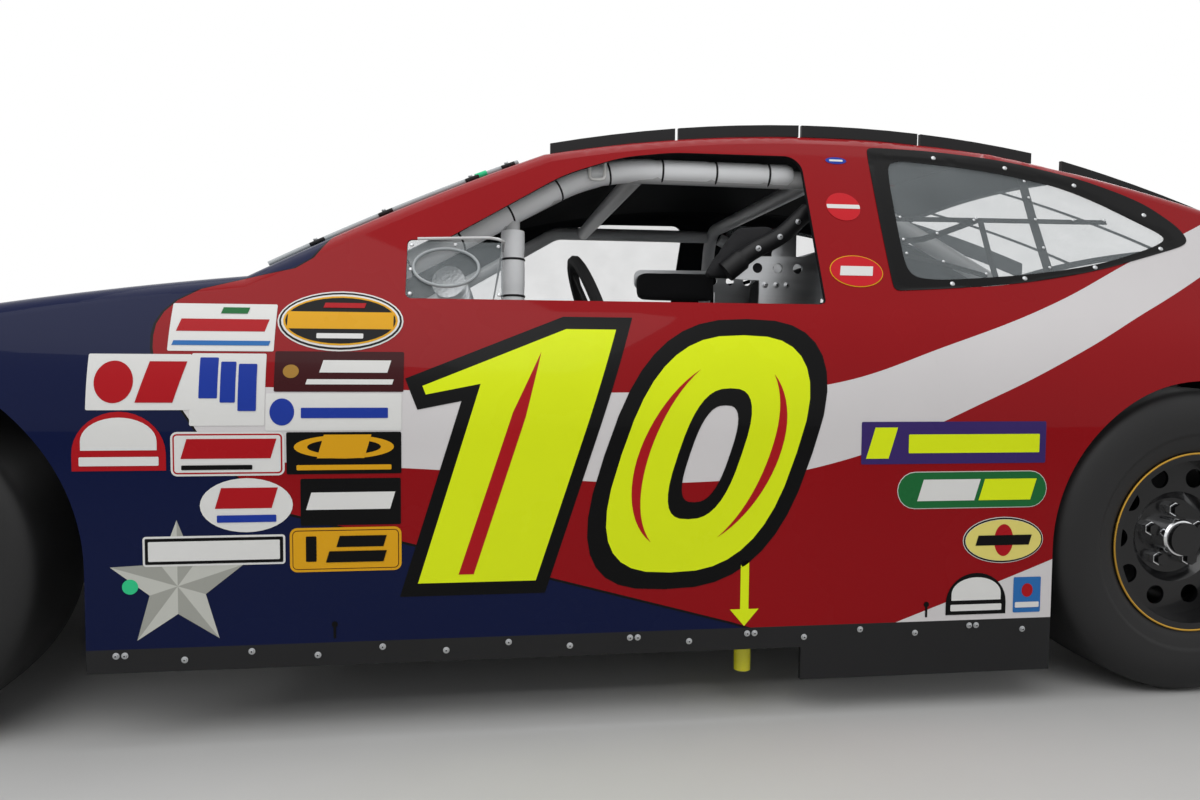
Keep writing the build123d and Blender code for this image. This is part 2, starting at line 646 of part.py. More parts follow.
def steering():
    """Steering column and wheel, on their tilted axis."""
    tilt = radians(column_tilt)
    centre = Vector(*wheel_centre)
    axis = Vector(cos(tilt), 0, sin(tilt))
    reach = (wheel_centre[0] - centre_front_x - 10 - fit_gap - column_radius * sin(tilt)) / cos(tilt)
    column = rod(centre - axis * (25 + fit_gap), centre - axis * reach, column_radius)
    section = Plane.XZ * Pos(172, 0) * RegularPolygon(radius=15, side_count=8)
    ring = revolve(section, axis=Axis.Z) + Pos(0, 0, -10) * Cylinder(45, 30)
    for angle in (90, 210, 330):
        ring = ring + Rot(0, 0, angle) * Pos(105, 0, 0) * Box(130, 30, 8)
    return column, Plane(origin=centre, z_dir=axis) * ring


def seat_shell():
    """The bucket seat of bent sheet, with the bands that hold the driver's head."""
    half = 210
    sheet = 8
    outer = [
        (-110, 240), (-110, 400), (-60, 425), (150, 470), (240, 560), (308, 760), (308, 960), (462, 1020),
        (470, 1010), (440, 600), (380, 240)]
    hollow = [(-120, 300), (-120, 500), (100, 1100), (458, 1100), (427, 600), (350, 300)]
    shell = side_prism(outer, -half, half) - side_prism(hollow, sheet - half, half - sheet)
    # Head bands: front x, outer y, inner y
    bands = [(235, -half, sheet - half), (76, half, half - sheet)]
    for front_x, y0, y1 in bands:
        band = [(front_x, 947, 20), (front_x, 1001, 20), (464, 1003, 3), (458, 940, 3)]
        shell = shell + rounded_prism(band, y0, y1)
        for x in (253, 303, 353, 403):
            shell = shell - rod((x, y0 - 10, 974), (x, y0 + 10, 974), 12)
    back_holes = [(-60, 850), (60, 850)]
    for y, z in back_holes:
        shell = shell - rod((400, y, z), (500, y, z), 22)
    return shell


def seat_pads():
    """The cushion with its back, and the two head pads inside the head bands."""
    cushion = side_prism(
        [(-100, 302), (-100, 340), (305, 340), (378, 620), (412, 1000), (444, 1000), (418, 604), (342, 302)],
        -180, 180)
    left = rounded_prism([(172, 948, 12), (205, 1003, 12), (258, 1072, 20), (350, 1079, 20), (350, 948, 8)],
                         -201.5, -165)
    right = rounded_prism([(78, 915, 25), (78, 992, 25), (300, 992, 10), (300, 915, 10)], 201.5, 165)
    return group([cushion, left, right])


def cabin():
    """Dashboard, steering, seat and its padding."""
    dash_x = front_axle_x + 899
    dash_half = half_width - 275
    column, wheel = steering()
    place = Pos(seat_x, driver_y, 0)
    return {"dashboard": block(dash_x, dash_x + 40, -dash_half, dash_half, 745, belt_z - 6),
            "steering_column": column, "steering_wheel": wheel, "seat": place * seat_shell(),
            "seat_padding": place * seat_pads()}


def brake(axle_x, side, towards):
    """The hub flange, disc and caliper at one end of an axle."""
    z = tyre_radius
    flange = rod((axle_x, side * (hub_face_y - 11), z), (axle_x, side * (hub_face_y - fit_gap), z), 70)
    disc = rod((axle_x, side * (wheel_plane_y - 68), z), (axle_x, side * (wheel_plane_y - 43), z), disc_r)
    near, reach = sorted((axle_x + towards * 95, axle_x + towards * 162))
    caliper = block(near, reach, side * (wheel_plane_y - 82), side * (wheel_plane_y - 29), z - 55, z + 55)
    return flange + disc + caliper


def exhaust_route():
    """The exhaust pipe's corners, from the header down and out through the right skirt."""
    end_x = jack_x + 354
    return [(header_x, 340, 330), (header_x, 340, exhaust_z), (end_x - 44, 520, exhaust_z),
            (end_x, half_width - 5, exhaust_z)]


def drive_line():
    """Engine with gearbox, radiator, fuel cell, rear axle, drive shaft, exhaust and jack posts."""
    engine = block(engine_front_x, engine_rear_x, -300, 300, 235, engine_top_z)
    engine = engine + block(engine_rear_x, gearbox_rear_x, -120, 120, 240, 440)
    radiator_x = clip_front_x + 2
    cell_half = kick_rail_y - clip_rail_half - fit_gap
    axle_z = tyre_radius
    reach = hub_face_y - fit_gap
    axle = rod((rear_axle_x, -reach, axle_z), (rear_axle_x, reach, axle_z), 38)
    axle = axle + rod((rear_axle_x - 120, 0, axle_z), (rear_axle_x + 120, 0, axle_z), 120)
    arm_x = mid_cross_x + 60 + fit_gap
    for side in (-1, 1):
        arm = plan_prism([(arm_x, side * 85), (arm_x, side * 135), (rear_axle_x - 30, side * 365),
                          (rear_axle_x + 30, side * 365), (rear_axle_x + 30, side * 315)], 150, 200)
        arm = arm + block(rear_axle_x - 30, rear_axle_x + 30, side * 318, side * 362, 200, 330)
        axle = axle + arm + brake(rear_axle_x, side, -1)
    pipe = bent_tube(exhaust_route(), 60, exhaust_radius)
    header = block(header_x - 35, header_x + 35, 300 + fit_gap, 345, 300, 360)
    posts = []
    for side in (-1, 1):
        post = block(jack_x - 25, jack_x + 25, side * (side_rail_outer + fit_gap), side * (half_width - 45), 140, 170)
        posts.append(post + rod((jack_x, side * (half_width - 65), 85), (jack_x, side * (half_width - 65), 140), 18))
    return {
        "engine": engine,
        "radiator": block(radiator_x, radiator_x + 58, -330, 330, clip_low_z, 620),
        "fuel_cell": block(cell_front_x, cell_rear_x, -cell_half, cell_half, 260, 620),
        "rear_axle": axle,
        "drive_shaft": rod((gearbox_rear_x + fit_gap, 0, axle_z), (rear_axle_x - 120 - fit_gap, 0, axle_z), 45),
        "exhaust": pipe + header,
        "jack_posts": group(posts),
    }


def front_suspension():
    """Control arms of plate on the front rails, and the knuckles between them."""
    nodes = {}
    arms = []
    thick = 24
    upright_low, upright_high = 225, 475
    # Arm levels: low z, half base along x, foot low z, foot high z
    levels = [
        (upright_low - fit_gap - thick, 130, upright_low - fit_gap - thick, clip_low_z),
        (upright_high + fit_gap, 110, clip_high_z, upright_high + fit_gap + thick)]
    for name, side in (("left", -1), ("right", 1)):
        ball = side * kingpin_y
        rail = side * (clip_rail_y + 1)
        for level, half_base, foot_low, foot_high in levels:
            outline = [
                (front_axle_x - half_base, rail), (front_axle_x - 34, ball + side * 26),
                (front_axle_x + 34, ball + side * 26), (front_axle_x + half_base, rail),
                (front_axle_x + half_base - 45, rail), (front_axle_x, ball - side * 45),
                (front_axle_x - half_base + 45, rail)]
            arm = plan_prism(outline, level, level + thick)
            outer = side * (clip_rail_y + clip_rail_half)
            for x in (front_axle_x - half_base, front_axle_x + half_base - 45):
                arm = arm + block(x, x + 45, rail, outer, foot_low, foot_high)
            arms.append(arm)
        inner, outer = ball - side * 18, ball + side * 22
        knuckle = block(front_axle_x - 28, front_axle_x + 28, inner, outer, upright_low, upright_high)
        spindle = (front_axle_x, side * (hub_face_y - fit_gap), tyre_radius)
        knuckle = knuckle + rod((front_axle_x, ball, tyre_radius), spindle, 33)
        nodes["knuckle_" + name] = knuckle + brake(front_axle_x, side, 1)
    nodes["control_arms"] = group(arms)
    return nodes


def tyre():
    """A racing slick, about the Y axis through its own centre."""
    side = tyre_width / 2
    bead_half = rim_half_width - 9.6
    half = [(side - 26, tyre_radius), (side - 8, tyre_radius - 20), (side, tyre_radius - 72),
            (bead_half, bead_radius - 12)]
    outline = half + [(-y, r) for y, r in reversed(half)]
    face = make_face(Polyline(*[(0, y, r) for y, r in outline], close=True))
    return revolve(face, axis=Axis.Y)


def rim():
    """A steel racing wheel with its lug nuts and hub cap, outer side towards +Y."""
    lip = rim_half_width
    barrel_r = bead_radius - 12 - fit_gap
    hub = hub_face_y - wheel_plane_y
    profile = [
        (-lip, barrel_r + 11), (-lip + 9, barrel_r), (lip - 9, barrel_r), (lip, barrel_r + 11),
        (lip, barrel_r - 6), (hub + 26, barrel_r - 10), (hub + 26, 106), (hub + 8, 88), (hub + 8, 0),
        (hub, 0), (hub, 92), (hub + 18, 112), (hub + 18, barrel_r - 10), (-lip, barrel_r - 6)]
    wheel = revolve(make_face(Polyline(*[(0, y, r) for y, r in profile], close=True)), axis=Axis.Y)
    for i in range(hole_count):
        angle = radians(360 / hole_count * i)
        x, z = hole_circle_r * cos(angle), hole_circle_r * sin(angle)
        wheel = wheel - rod((x, hub, z), (x, hub + 60, z), hole_r)
    for i in range(lug_count):
        angle = radians(90 + 360 / lug_count * i)
        x, z = lug_circle / 2 * cos(angle), lug_circle / 2 * sin(angle)
        nut = extrude(RegularPolygon(radius=14, side_count=6), amount=30)
        wheel = wheel + Plane(origin=(x, hub + 8, z), z_dir=(0, 1, 0)) * nut
    return wheel + rod((0, hub, 0), (0, hub + 62, 0), hub_cap_r)


def wheels():
    """The four wheels."""
    nodes = {}
    tyre_shape = tyre()
    rim_shape = rim()
    for end, x in (("front", front_axle_x), ("rear", rear_axle_x)):
        for name, side in (("left", -1), ("right", 1)):
            place = Pos(x, side * wheel_plane_y, tyre_radius)
            turned = rim_shape if side == 1 else mirrored(rim_shape)
            nodes[f"tyre_{end}_{name}"] = place * tyre_shape
            nodes[f"rim_{end}_{name}"] = place * turned
    return nodes


assemblies = [
    body_panels, glazing, aero, frame, floor_and_bulkheads, cage, cabin, drive_line, front_suspension, wheels]
nodes = {}
for make in assemblies:
    nodes.update(make())
for name, shape in nodes.items():
    export_step(shape, f"parts/{name}.step")
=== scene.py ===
from math import cos, pi, radians, sin

import bmesh
import bpy
from mathutils import Matrix, Vector
from mathutils.bvhtree import BVHTree
from mathutils.geometry import convex_hull_2d


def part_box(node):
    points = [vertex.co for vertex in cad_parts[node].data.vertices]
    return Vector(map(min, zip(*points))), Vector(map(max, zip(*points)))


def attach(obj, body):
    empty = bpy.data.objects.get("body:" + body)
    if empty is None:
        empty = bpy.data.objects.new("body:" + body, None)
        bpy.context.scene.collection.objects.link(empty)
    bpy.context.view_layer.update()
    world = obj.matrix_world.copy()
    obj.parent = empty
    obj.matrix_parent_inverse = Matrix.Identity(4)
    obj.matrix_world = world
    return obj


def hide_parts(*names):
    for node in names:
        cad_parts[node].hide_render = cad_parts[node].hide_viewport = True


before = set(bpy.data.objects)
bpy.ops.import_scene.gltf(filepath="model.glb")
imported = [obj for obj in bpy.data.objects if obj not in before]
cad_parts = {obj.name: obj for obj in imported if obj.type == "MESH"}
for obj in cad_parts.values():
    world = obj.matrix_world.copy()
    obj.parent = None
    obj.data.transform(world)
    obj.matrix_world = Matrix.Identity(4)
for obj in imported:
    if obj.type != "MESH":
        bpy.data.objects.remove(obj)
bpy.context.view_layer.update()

bl_info = {
    "name": "Oval-track stock car",
    "version": (1, 0, 0),
    "blender": (4, 5, 0),
    "location": "3D View > Sidebar > Stock car",
    "description": "Dresses the packed stock car with its paint, tyres, glass trim, cabin and fasteners",
    "category": "Object",
}

# Frame: metres, X rearward, Y to the car's right, Z up, origin on the ground
SIDES = (("left", -1), ("right", 1))
ENDS = ("front", "rear")
FULL_TURN = 2 * pi
UP, DOWN = Vector((0, 0, 1)), Vector((0, 0, -1))
FAR = 3.0  # a start for rays, well outside the car


def linear(code):
    """A colour's sRGB hex value as linear red, green, blue and alpha."""
    parts = [((code >> shift) & 255) / 255 for shift in (16, 8, 0)]
    return tuple(c / 12.92 if c <= 0.04045 else ((c + 0.055) / 1.055) ** 2.4 for c in parts) + (1.0,)


def rgb(code):
    """The same without alpha, as a colour property holds it."""
    return linear(code)[:3]


def shade_property(name, about, code):
    """A colour of the paint scheme."""
    return bpy.props.FloatVectorProperty(name=name, description=about, subtype="COLOR", default=rgb(code))


def length_property(name, about, metres):
    """A size of the dressing."""
    return bpy.props.FloatProperty(name=name, description=about, unit="LENGTH", default=metres)


class CarColours(bpy.types.PropertyGroup):
    """The colours of the paint scheme."""
    blue: shade_property("Blue", "Front and lower band", 0x07133C)
    red: shade_property("Red", "Main body colour", 0x940912)
    pearl: shade_property("Pearl", "Stripes", 0xDAD7D8)


class CarSizes(bpy.types.PropertyGroup):
    """Sizes of what the dressing adds."""
    film: length_property("Film", "Thickness of a cut vinyl film", 0.0005)
    bolt: length_property("Bolt head", "Diameter of a skirt bolt's washer", 0.013)
    rivet: length_property("Rivet", "Diameter of a window rivet", 0.012)


def sizes():
    """The dressing's sizes."""
    return bpy.context.scene.stock_car_sizes


# Materials
def add(tree, kind, settings=None, links=None):
    """Adds one shader node with its settings and links."""
    node = tree.nodes.new(kind)
    for key, value in (settings or {}).items():
        if hasattr(node, str(key)):
            setattr(node, key, value)
        else:
            node.inputs[key].default_value = value
    for key, socket in (links or {}).items():
        tree.links.new(socket, node.inputs[key])
    return node


def noise(tree, spot, scale, detail):
    """A noise pattern's value."""
    return add(tree, "ShaderNodeTexNoise", {"Scale": scale, "Detail": detail}, {"Vector": spot}).outputs["Fac"]


def ranged(tree, value, low, high):
    """A value from 0 to 1, spread between two others."""
    return add(tree, "ShaderNodeMapRange", {"To Min": low, "To Max": high}, {"Value": value}).outputs["Result"]


def maths(tree, operation, first, second):
    """A socket put through an operation with another one or a number."""
    settings, links = {"operation": operation}, {0: first}
    (settings if isinstance(second, float) else links)[1] = second
    return add(tree, "ShaderNodeMath", settings, links).outputs["Value"]


def mixed(tree, share, first, second):
    """Two colours, each a socket or a value, mixed by a share."""
    settings, links = {"data_type": "RGBA"}, {0: share}
    for key, colour in ((6, first), (7, second)):
        (settings if isinstance(colour, tuple) else links)[key] = colour
    return add(tree, "ShaderNodeMix", settings, links).outputs[2]


def new_material(name, constants):
    """An empty node material with the Principled shader's constants: itself, its tree, a linker and coordinates."""
    made = bpy.data.materials.new(name)
    made.use_nodes = True
    tree = made.node_tree
    shader = tree.nodes["Principled BSDF"]
    for key, value in constants.items():
        shader.inputs[key].default_value = value
    coords = add(tree, "ShaderNodeTexCoord")
    return made, tree, lambda key, socket: tree.links.new(socket, shader.inputs[key]), coords


def bump_from(tree, height, strength, distance):
    """A relief's normal."""
    made = add(tree, "ShaderNodeBump", {"Strength": strength, "Distance": distance}, {"Height": height})
    return made.outputs["Normal"]


BROAD_SCALE = 6.0


def surface(name, code, roughness, metallic=0.0, grain=0.001, bump=0.1, shade=0.08, wear=0.08, stretch=(1, 1, 1),
            coat=0.0, depth=0.0005, shine=0.5):
    """A finish with one base colour: its mottling, its roughness's variation and its bump from one grain size."""
    made, tree, link, coords = new_material(
        name, {"Metallic": metallic, "Specular IOR Level": shine, "Coat Weight": coat})
    spot = add(tree, "ShaderNodeMapping", {"Scale": stretch}, {"Vector": coords.outputs["Object"]}).outputs["Vector"]
    fine, broad = noise(tree, spot, 1 / grain, 4.0), noise(tree, spot, BROAD_SCALE, 5.0)
    base = linear(code)[:3]
    dark = tuple(c * (1 - shade) for c in base) + (1.0,)
    light = tuple(min(c * (1 + shade) + shade * 0.01, 1) for c in base) + (1.0,)
    link("Base Color", mixed(tree, broad, dark, light))
    link("Roughness", ranged(tree, broad, max(roughness - wear, 0.02), min(roughness + wear, 1)))
    link("Normal", bump_from(tree, fine, bump, depth))
    return made


# Paint scheme, as (x, z) points in the side view
STRIPE_TOP = [
    (-0.9, 0.700), (0.0, 0.690), (0.364, 0.705), (0.656, 0.792), (0.935, 0.889), (1.164, 0.992), (1.394, 1.092),
    (1.9, 1.32)]
STRIPE_LOW = [
    (-0.9, 0.560), (-0.506, 0.540), (0.10, 0.505), (0.385, 0.542), (0.758, 0.685), (0.974, 0.783), (1.173, 0.880),
    (1.9, 1.19)]
TAIL_STRIPE_TOP = [(0.40, 0.150), (0.532, 0.197), (0.884, 0.323), (1.40, 0.530), (2.00, 0.790), (2.60, 1.02)]
TAIL_STRIPE_LOW = [(0.80, 0.150), (1.20, 0.300), (1.60, 0.460), (2.10, 0.680), (2.60, 0.87)]
BLUE_EDGE = [(-0.96, 0.500), (-0.75, 0.456), (-0.50, 0.387), (-0.255, 0.320), (0.174, 0.202), (0.30, 0.160)]
BLUE_NOSE = [
    (0.30, -0.840), (0.456, -0.790), (0.62, -0.90), (0.80, -0.985), (0.867, -0.950), (0.915, -0.825), (0.96, -0.70)]
CURVE_SPAN = 3.0
LINE_WIDTH = 0.005
LINE_COLOUR = 0x0A0A0C
LOW_BAND_END = 0.30
BODY_CORE = (0.0, 0.0, 0.55)
# Colour of the faces turned toward the car's middle: a dark grey
INWARD_FACE_COLOUR = 0x1C1D1F


def curve_value(tree, source, points, smooth=True):
    """A named curve of the paint scheme, read at a coordinate."""
    scaled = add(tree, "ShaderNodeMapRange", {"From Min": -CURVE_SPAN, "From Max": CURVE_SPAN}, {"Value": source})
    node = add(tree, "ShaderNodeFloatCurve", {}, {"Value": scaled.outputs["Result"]})
    line = node.mapping.curves[0]
    spots = [((x + CURVE_SPAN) / (2 * CURVE_SPAN), (y + CURVE_SPAN) / (2 * CURVE_SPAN)) for x, y in points]
    line.points[0].location = (0.0, spots[0][1])
    line.points[1].location = (1.0, spots[-1][1])
    for spot in spots:
        line.points.new(*spot)
    for point in line.points:
        point.handle_type = "AUTO" if smooth else "VECTOR"
    node.mapping.update()
    return ranged(tree, node.outputs["Value"], -CURVE_SPAN, CURVE_SPAN)


def body_paint():
    """Gloss enamel under clear coat, sprayed in areas: it shows sharp colour edges and a faint orange peel."""
    made, tree, link, coords = new_material(
        "enamel_clear_coat", {"Specular IOR Level": 0.04, "Coat IOR": 1.4, "Coat Roughness": 0.03})
    spot = coords.outputs["Object"]
    split = add(tree, "ShaderNodeSeparateXYZ", {}, {"Vector": spot})
    x, z = split.outputs["X"], split.outputs["Z"]
    scheme = bpy.context.scene.stock_car_colours
    pearl, red, blue = (tuple(each) + (1,) for each in (scheme.pearl, scheme.red, scheme.blue))
    mask = None
    for top, low in ((STRIPE_TOP, STRIPE_LOW), (TAIL_STRIPE_TOP, TAIL_STRIPE_LOW)):
        under = maths(tree, "LESS_THAN", z, curve_value(tree, x, top))
        over = maths(tree, "GREATER_THAN", z, curve_value(tree, x, low))
        inner = maths(tree, "MULTIPLY", under, over)
        mask = inner if mask is None else maths(tree, "MAXIMUM", mask, inner)
    painted = mixed(tree, mask, red, pearl)
    edge, nose = curve_value(tree, x, BLUE_EDGE, False), curve_value(tree, z, BLUE_NOSE)
    for grow, look in ((LINE_WIDTH, linear(LINE_COLOUR)), (0.0, blue)):
        under = maths(tree, "LESS_THAN", z, maths(tree, "ADD", edge, grow))
        low_band = maths(tree, "MULTIPLY", under, maths(tree, "LESS_THAN", x, LOW_BAND_END))
        ahead = maths(tree, "LESS_THAN", x, maths(tree, "ADD", nose, grow))
        painted = mixed(tree, maths(tree, "MAXIMUM", low_band, ahead), painted, look)
    cloud = noise(tree, spot, 3.0, 4.0)
    tone = add(tree, "ShaderNodeHueSaturation", {}, {"Color": painted, "Value": ranged(tree, cloud, 0.93, 1.05)})
    # Faces turned toward BODY_CORE, inside the shell, take the dark grey, more roughness and no clear coat
    from_core = add(tree, "ShaderNodeVectorMath", {"operation": "SUBTRACT", 1: BODY_CORE}, {0: spot})
    facing = add(tree, "ShaderNodeVectorMath", {"operation": "DOT_PRODUCT"},
                 {0: coords.outputs["Normal"], 1: from_core.outputs["Vector"]})
    inside = maths(tree, "LESS_THAN", facing.outputs["Value"], 0.0)
    link("Base Color", mixed(tree, inside, tone.outputs["Color"], linear(INWARD_FACE_COLOUR)))
    link("Normal", bump_from(tree, noise(tree, spot, 900.0, 2.0), 0.03, 0.0004))
    link("Roughness", maths(tree, "ADD", ranged(tree, cloud, 0.22, 0.32), maths(tree, "MULTIPLY", inside, 0.45)))
    link("Coat Weight", ranged(tree, inside, 0.26, 0.0))
    return made


def clear_pane():
    """Clear polycarbonate sheet: nearly colourless, with a gloss that dust dulls a little."""
    made, tree, link, coords = new_material("polycarbonate_clear", {"Base Color": linear(0xB9C2C6)})
    dust = noise(tree, coords.outputs["Object"], 9.0, 8.0)
    link("Alpha", ranged(tree, dust, 0.10, 0.20))
    link("Roughness", ranged(tree, dust, 0.03, 0.12))
    return made


def vinyl(name, code, gloss=0.28):
    """Cut vinyl film: an even colour with a fine stipple, a little flatter than the paint."""
    return surface("vinyl_" + name, code, gloss, grain=0.0012, bump=0.04, shade=0.04, wear=0.05, coat=0.04, shine=0.1)


# Colours of the cut vinyl films
VINYLS = {
    "number_yellow": 0xE4F51A, "black": 0x060607, "white": 0xE4E4E2, "red": 0xB0151E, "bright_red": 0xC8202A,
    "royal_blue": 0x1E3A9E, "gold": 0xA9803A, "dark_red": 0x3B0D12, "yellow": 0xE2A61C, "lemon": 0xE9DC7A,
    "purple": 0x3B2A6B, "green": 0x1E6B38, "dot_green": 0x35C98B, "sky": 0x2E6FB4, "silver": 0xC6C7C0,
    "silver_dark": 0xA3A49D}
FINISHES = {}


def finishes():
    """Every finish of the car, made once."""
    if FINISHES:
        return FINISHES
    FINISHES.update({name: vinyl(name, code) for name, code in VINYLS.items()})
    FINISHES.update({
        "body_paint": body_paint(),
        "clear_pane": clear_pane(),
        # Moulded black polyethylene and painted aluminium trim: matt, scuffed
        "black_trim": surface("polyethylene_black", 0x101012, 0.5, grain=0.0015, bump=0.25, shade=0.25, shine=0.3),
        # Cured racing rubber: dull, with a fine grain and a dusty bloom
        "tyre": surface("rubber_slick", 0x121213, 0.55, grain=0.0012, bump=0.3, shade=0.3, wear=0.14, shine=0.4),
        # Black enamel on a pressed steel wheel: semi-gloss, chipped lightly
        "wheel_steel": surface("wheel_enamel_black", 0x0B0B0D, 0.24, grain=0.002, bump=0.08, shade=0.2, coat=0.3,
                               shine=0.35),
        # Powder coat on the chassis tubes: light grey satin
        "frame_steel": surface("powder_coat_grey", 0x8C8F92, 0.45, grain=0.001, bump=0.12),
        "cage_paint": surface("powder_coat_pale", 0xC9CACB, 0.38, grain=0.001, bump=0.1, coat=0.2),
        # Rolled sheet aluminium: fine grain along the sheet, soft reflections
        "sheet_aluminium": surface("aluminium_sheet", 0xC4C6C8, 0.34, metallic=1.0, grain=0.0008, bump=0.12,
                                   stretch=(1, 14, 14), shade=0.12),
        # Cast iron and alloy under heat-proof paint: rough
        "iron": surface("cast_iron_painted", 0x3A3B3D, 0.6, metallic=0.4, grain=0.0025, bump=0.5, shade=0.2),
        "bare_steel": surface("steel_bare", 0x8D8E90, 0.4, metallic=1.0, grain=0.0012, bump=0.15, shade=0.15),
        # Knitted flame-proof cover on foam: black, no gloss
        "padding": surface("knit_black", 0x17171A, 0.9, grain=0.0015, bump=0.6, shade=0.2),
        "grip": surface("suede_black", 0x121213, 0.85, grain=0.001, bump=0.5, shade=0.2),
        # Yellow enamel on the jacking post
        "jack_yellow": surface("enamel_yellow", 0xD8D21A, 0.4, grain=0.002, bump=0.1, coat=0.2),
        # Polished chrome on lug nuts and caps: mirror-like, faint scratches
        "chrome": surface("chrome_polished", 0xDCDDDF, 0.12, metallic=1.0, grain=0.003, bump=0.03, shade=0.05,
                          wear=0.05),
        # Zinc-plated steel: pale, satin
        "zinc": surface("zinc_plate", 0xB9BBBD, 0.35, metallic=1.0, grain=0.002, bump=0.08),
        # Woven polyester webbing: dull, with a coarse rib that shows
        "webbing": surface("webbing_black", 0x121214, 0.8, grain=0.0025, bump=0.7, shade=0.2, stretch=(1, 1, 4),
                           shine=0.2),
        # Aluminium foil wrapped on wire: crinkled and bright
        "foil": surface("foil_crinkled", 0xC9CBCD, 0.28, metallic=1.0, grain=0.006, bump=0.9, shade=0.15,
                        depth=0.0015),
        # Printed lamp lenses: a film with more gloss
        "lens": vinyl("lens_white", 0xC9CED2, 0.15),
        "amber": vinyl("lens_amber", 0xC7631A, 0.2),
        # Edge of a polycarbonate pane: milky grey, glossy
        "pane_edge": surface("polycarbonate_edge", 0x9AA0A3, 0.25, grain=0.004, bump=0.05, coat=0.3),
        # Bronze-gold enamel line on the rim's edge
        "bronze": surface("bronze_gold", 0xC79A3A, 0.3, metallic=0.8, grain=0.002, bump=0.05),
        # Closed-cell foam tube cover: pale grey, matt, slightly dimpled
        "foam_pale": surface("foam_pale", 0xF6F8FA, 0.5, grain=0.003, bump=0.2, shade=0.04),
    })
    return FINISHES


# Mesh helpers
def make_piece(name, bm, looks, smooth=30, body="chassis"):
    """A finished object from a bmesh: its finishes, its shading and the body it rides on."""
    mesh = bpy.data.meshes.new(name)
    bm.to_mesh(mesh)
    bm.free()
    piece = bpy.data.objects.new(name, mesh)
    bpy.context.scene.collection.objects.link(piece)
    for look in looks:
        mesh.materials.append(finishes()[look])
    if smooth:
        mesh.shade_smooth()
        mesh.set_sharp_from_angle(angle=radians(smooth))
    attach(piece, body)
    return piece


def merge_into(bm, part, slot_index=0):
    """Adds one bmesh to another, in one finish."""
    for face in part.faces:
        face.material_index = slot_index
    mesh = bpy.data.meshes.new("part")
    part.to_mesh(mesh)
    part.free()
    bm.from_mesh(mesh)
    bpy.data.meshes.remove(mesh)


def set_on(part, spot, axis):
    """Moves a part that was made about the upright axis to a spot and another axis."""
    turn = Vector(axis).to_track_quat("Z", "Y").to_matrix().to_4x4()
    bmesh.ops.transform(part, matrix=Matrix.Translation(spot) @ turn, verts=part.verts)
    return part


def soften(part, edges, width):
    """Bevels edges in two steps."""
    bmesh.ops.bevel(part, geom=edges, offset=width, segments=2, profile=0.5, affect="EDGES", material=-1)


def drum(centre, axis, radius, length, segments=20, bevel=0.0):
    """A short cylinder or nut about an axis, with softened rims."""
    part = bmesh.new()
    bmesh.ops.create_cone(
        part, cap_ends=True, cap_tris=False, segments=segments, radius1=radius, radius2=radius, depth=length)
    if bevel:
        soften(part, [e for e in part.edges if abs(e.verts[0].co.z - e.verts[1].co.z) < 1e-9], bevel)
    return set_on(part, centre, axis)


def stack(bm, spot, out, rows, size=1.0):
    """Sets drums above each other: lift, radius in sizes, height, sides, bevel and finish of each."""
    for lift, radius, height, sides, bevel, look in rows:
        merge_into(bm, drum(spot + out * lift, out, radius * size, height, sides, bevel), look)


def bevelled_block(centre, size, turn=None, bevel=0.001):
    """A small block with softened edges."""
    part = bmesh.new()
    bmesh.ops.create_cube(part, size=1.0)
    bmesh.ops.scale(part, vec=size, verts=part.verts)
    soften(part, part.edges[:], min(bevel, min(size) * 0.3))
    bmesh.ops.transform(part, matrix=Matrix.Translation(centre) @ (turn or Matrix.Identity(4)), verts=part.verts)
    return part


def sheet(rows, closed=False, around=False):
    """Quads between rows of as many points, each row closed or not, and the last row joined to the first or not."""
    flat = bmesh.new()
    grid = [[flat.verts.new(spot) for spot in row] for row in rows]
    count = len(grid[0])
    for near, far in zip(grid, grid[1:] + (grid[:1] if around else [])):
        for i in range(count if closed else count - 1):
            k = (i + 1) % count
            flat.faces.new((near[i], near[k], far[k], far[i]))
    return flat


def on_axes(point, axes):
    """A point that is drawn on two axes, in space."""
    spot = Vector((0, 0, 0))
    spot[axes[0]], spot[axes[1]] = point
    return spot


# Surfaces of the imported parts
BEND_STEP, LENGTH_STEP, VIEW_STEP = 0.012, 0.05, 0.02
GAP_REACH, GAP_DEPTH = 0.007, 0.006
# A film's lift, the lift of one layer on the other and a film's own thickness, in films
FILM_LIFT, LAYER_LIFT, FILM_BODY = 2, 1.2, 0.8
# Views that an outline is drawn in: its two axes and the way it is pressed on
VIEWS = {"front": (1, 2, (1, 0, 0)), "rear": (1, 2, (-1, 0, 0)), "top": (0, 1, (0, 0, -1))}


def node_tree_of(*names):
    """A search tree of the CAD nodes' surfaces."""
    points, faces = [], []
    for name in names:
        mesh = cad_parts[name].data
        start = len(points)
        points += [v.co.copy() for v in mesh.vertices]
        faces += [[start + i for i in p.vertices] for p in mesh.polygons]
    return BVHTree.FromPolygons(points, faces)


def surface_at(tree, start, direction):
    """The point where a line meets a surface, and the way that surface faces."""
    direction = Vector(direction)
    hit, normal, _, _ = tree.ray_cast(Vector(start), direction)
    if hit is None:
        raise RuntimeError(f"nothing lies along a line from {tuple(round(c, 3) for c in start)}")
    return hit, normal if normal.dot(direction) < 0 else -normal


def top_point(tree, x, y):
    """A surface's highest point over (x, y), and the way it faces."""
    return surface_at(tree, (x, y, FAR), DOWN)


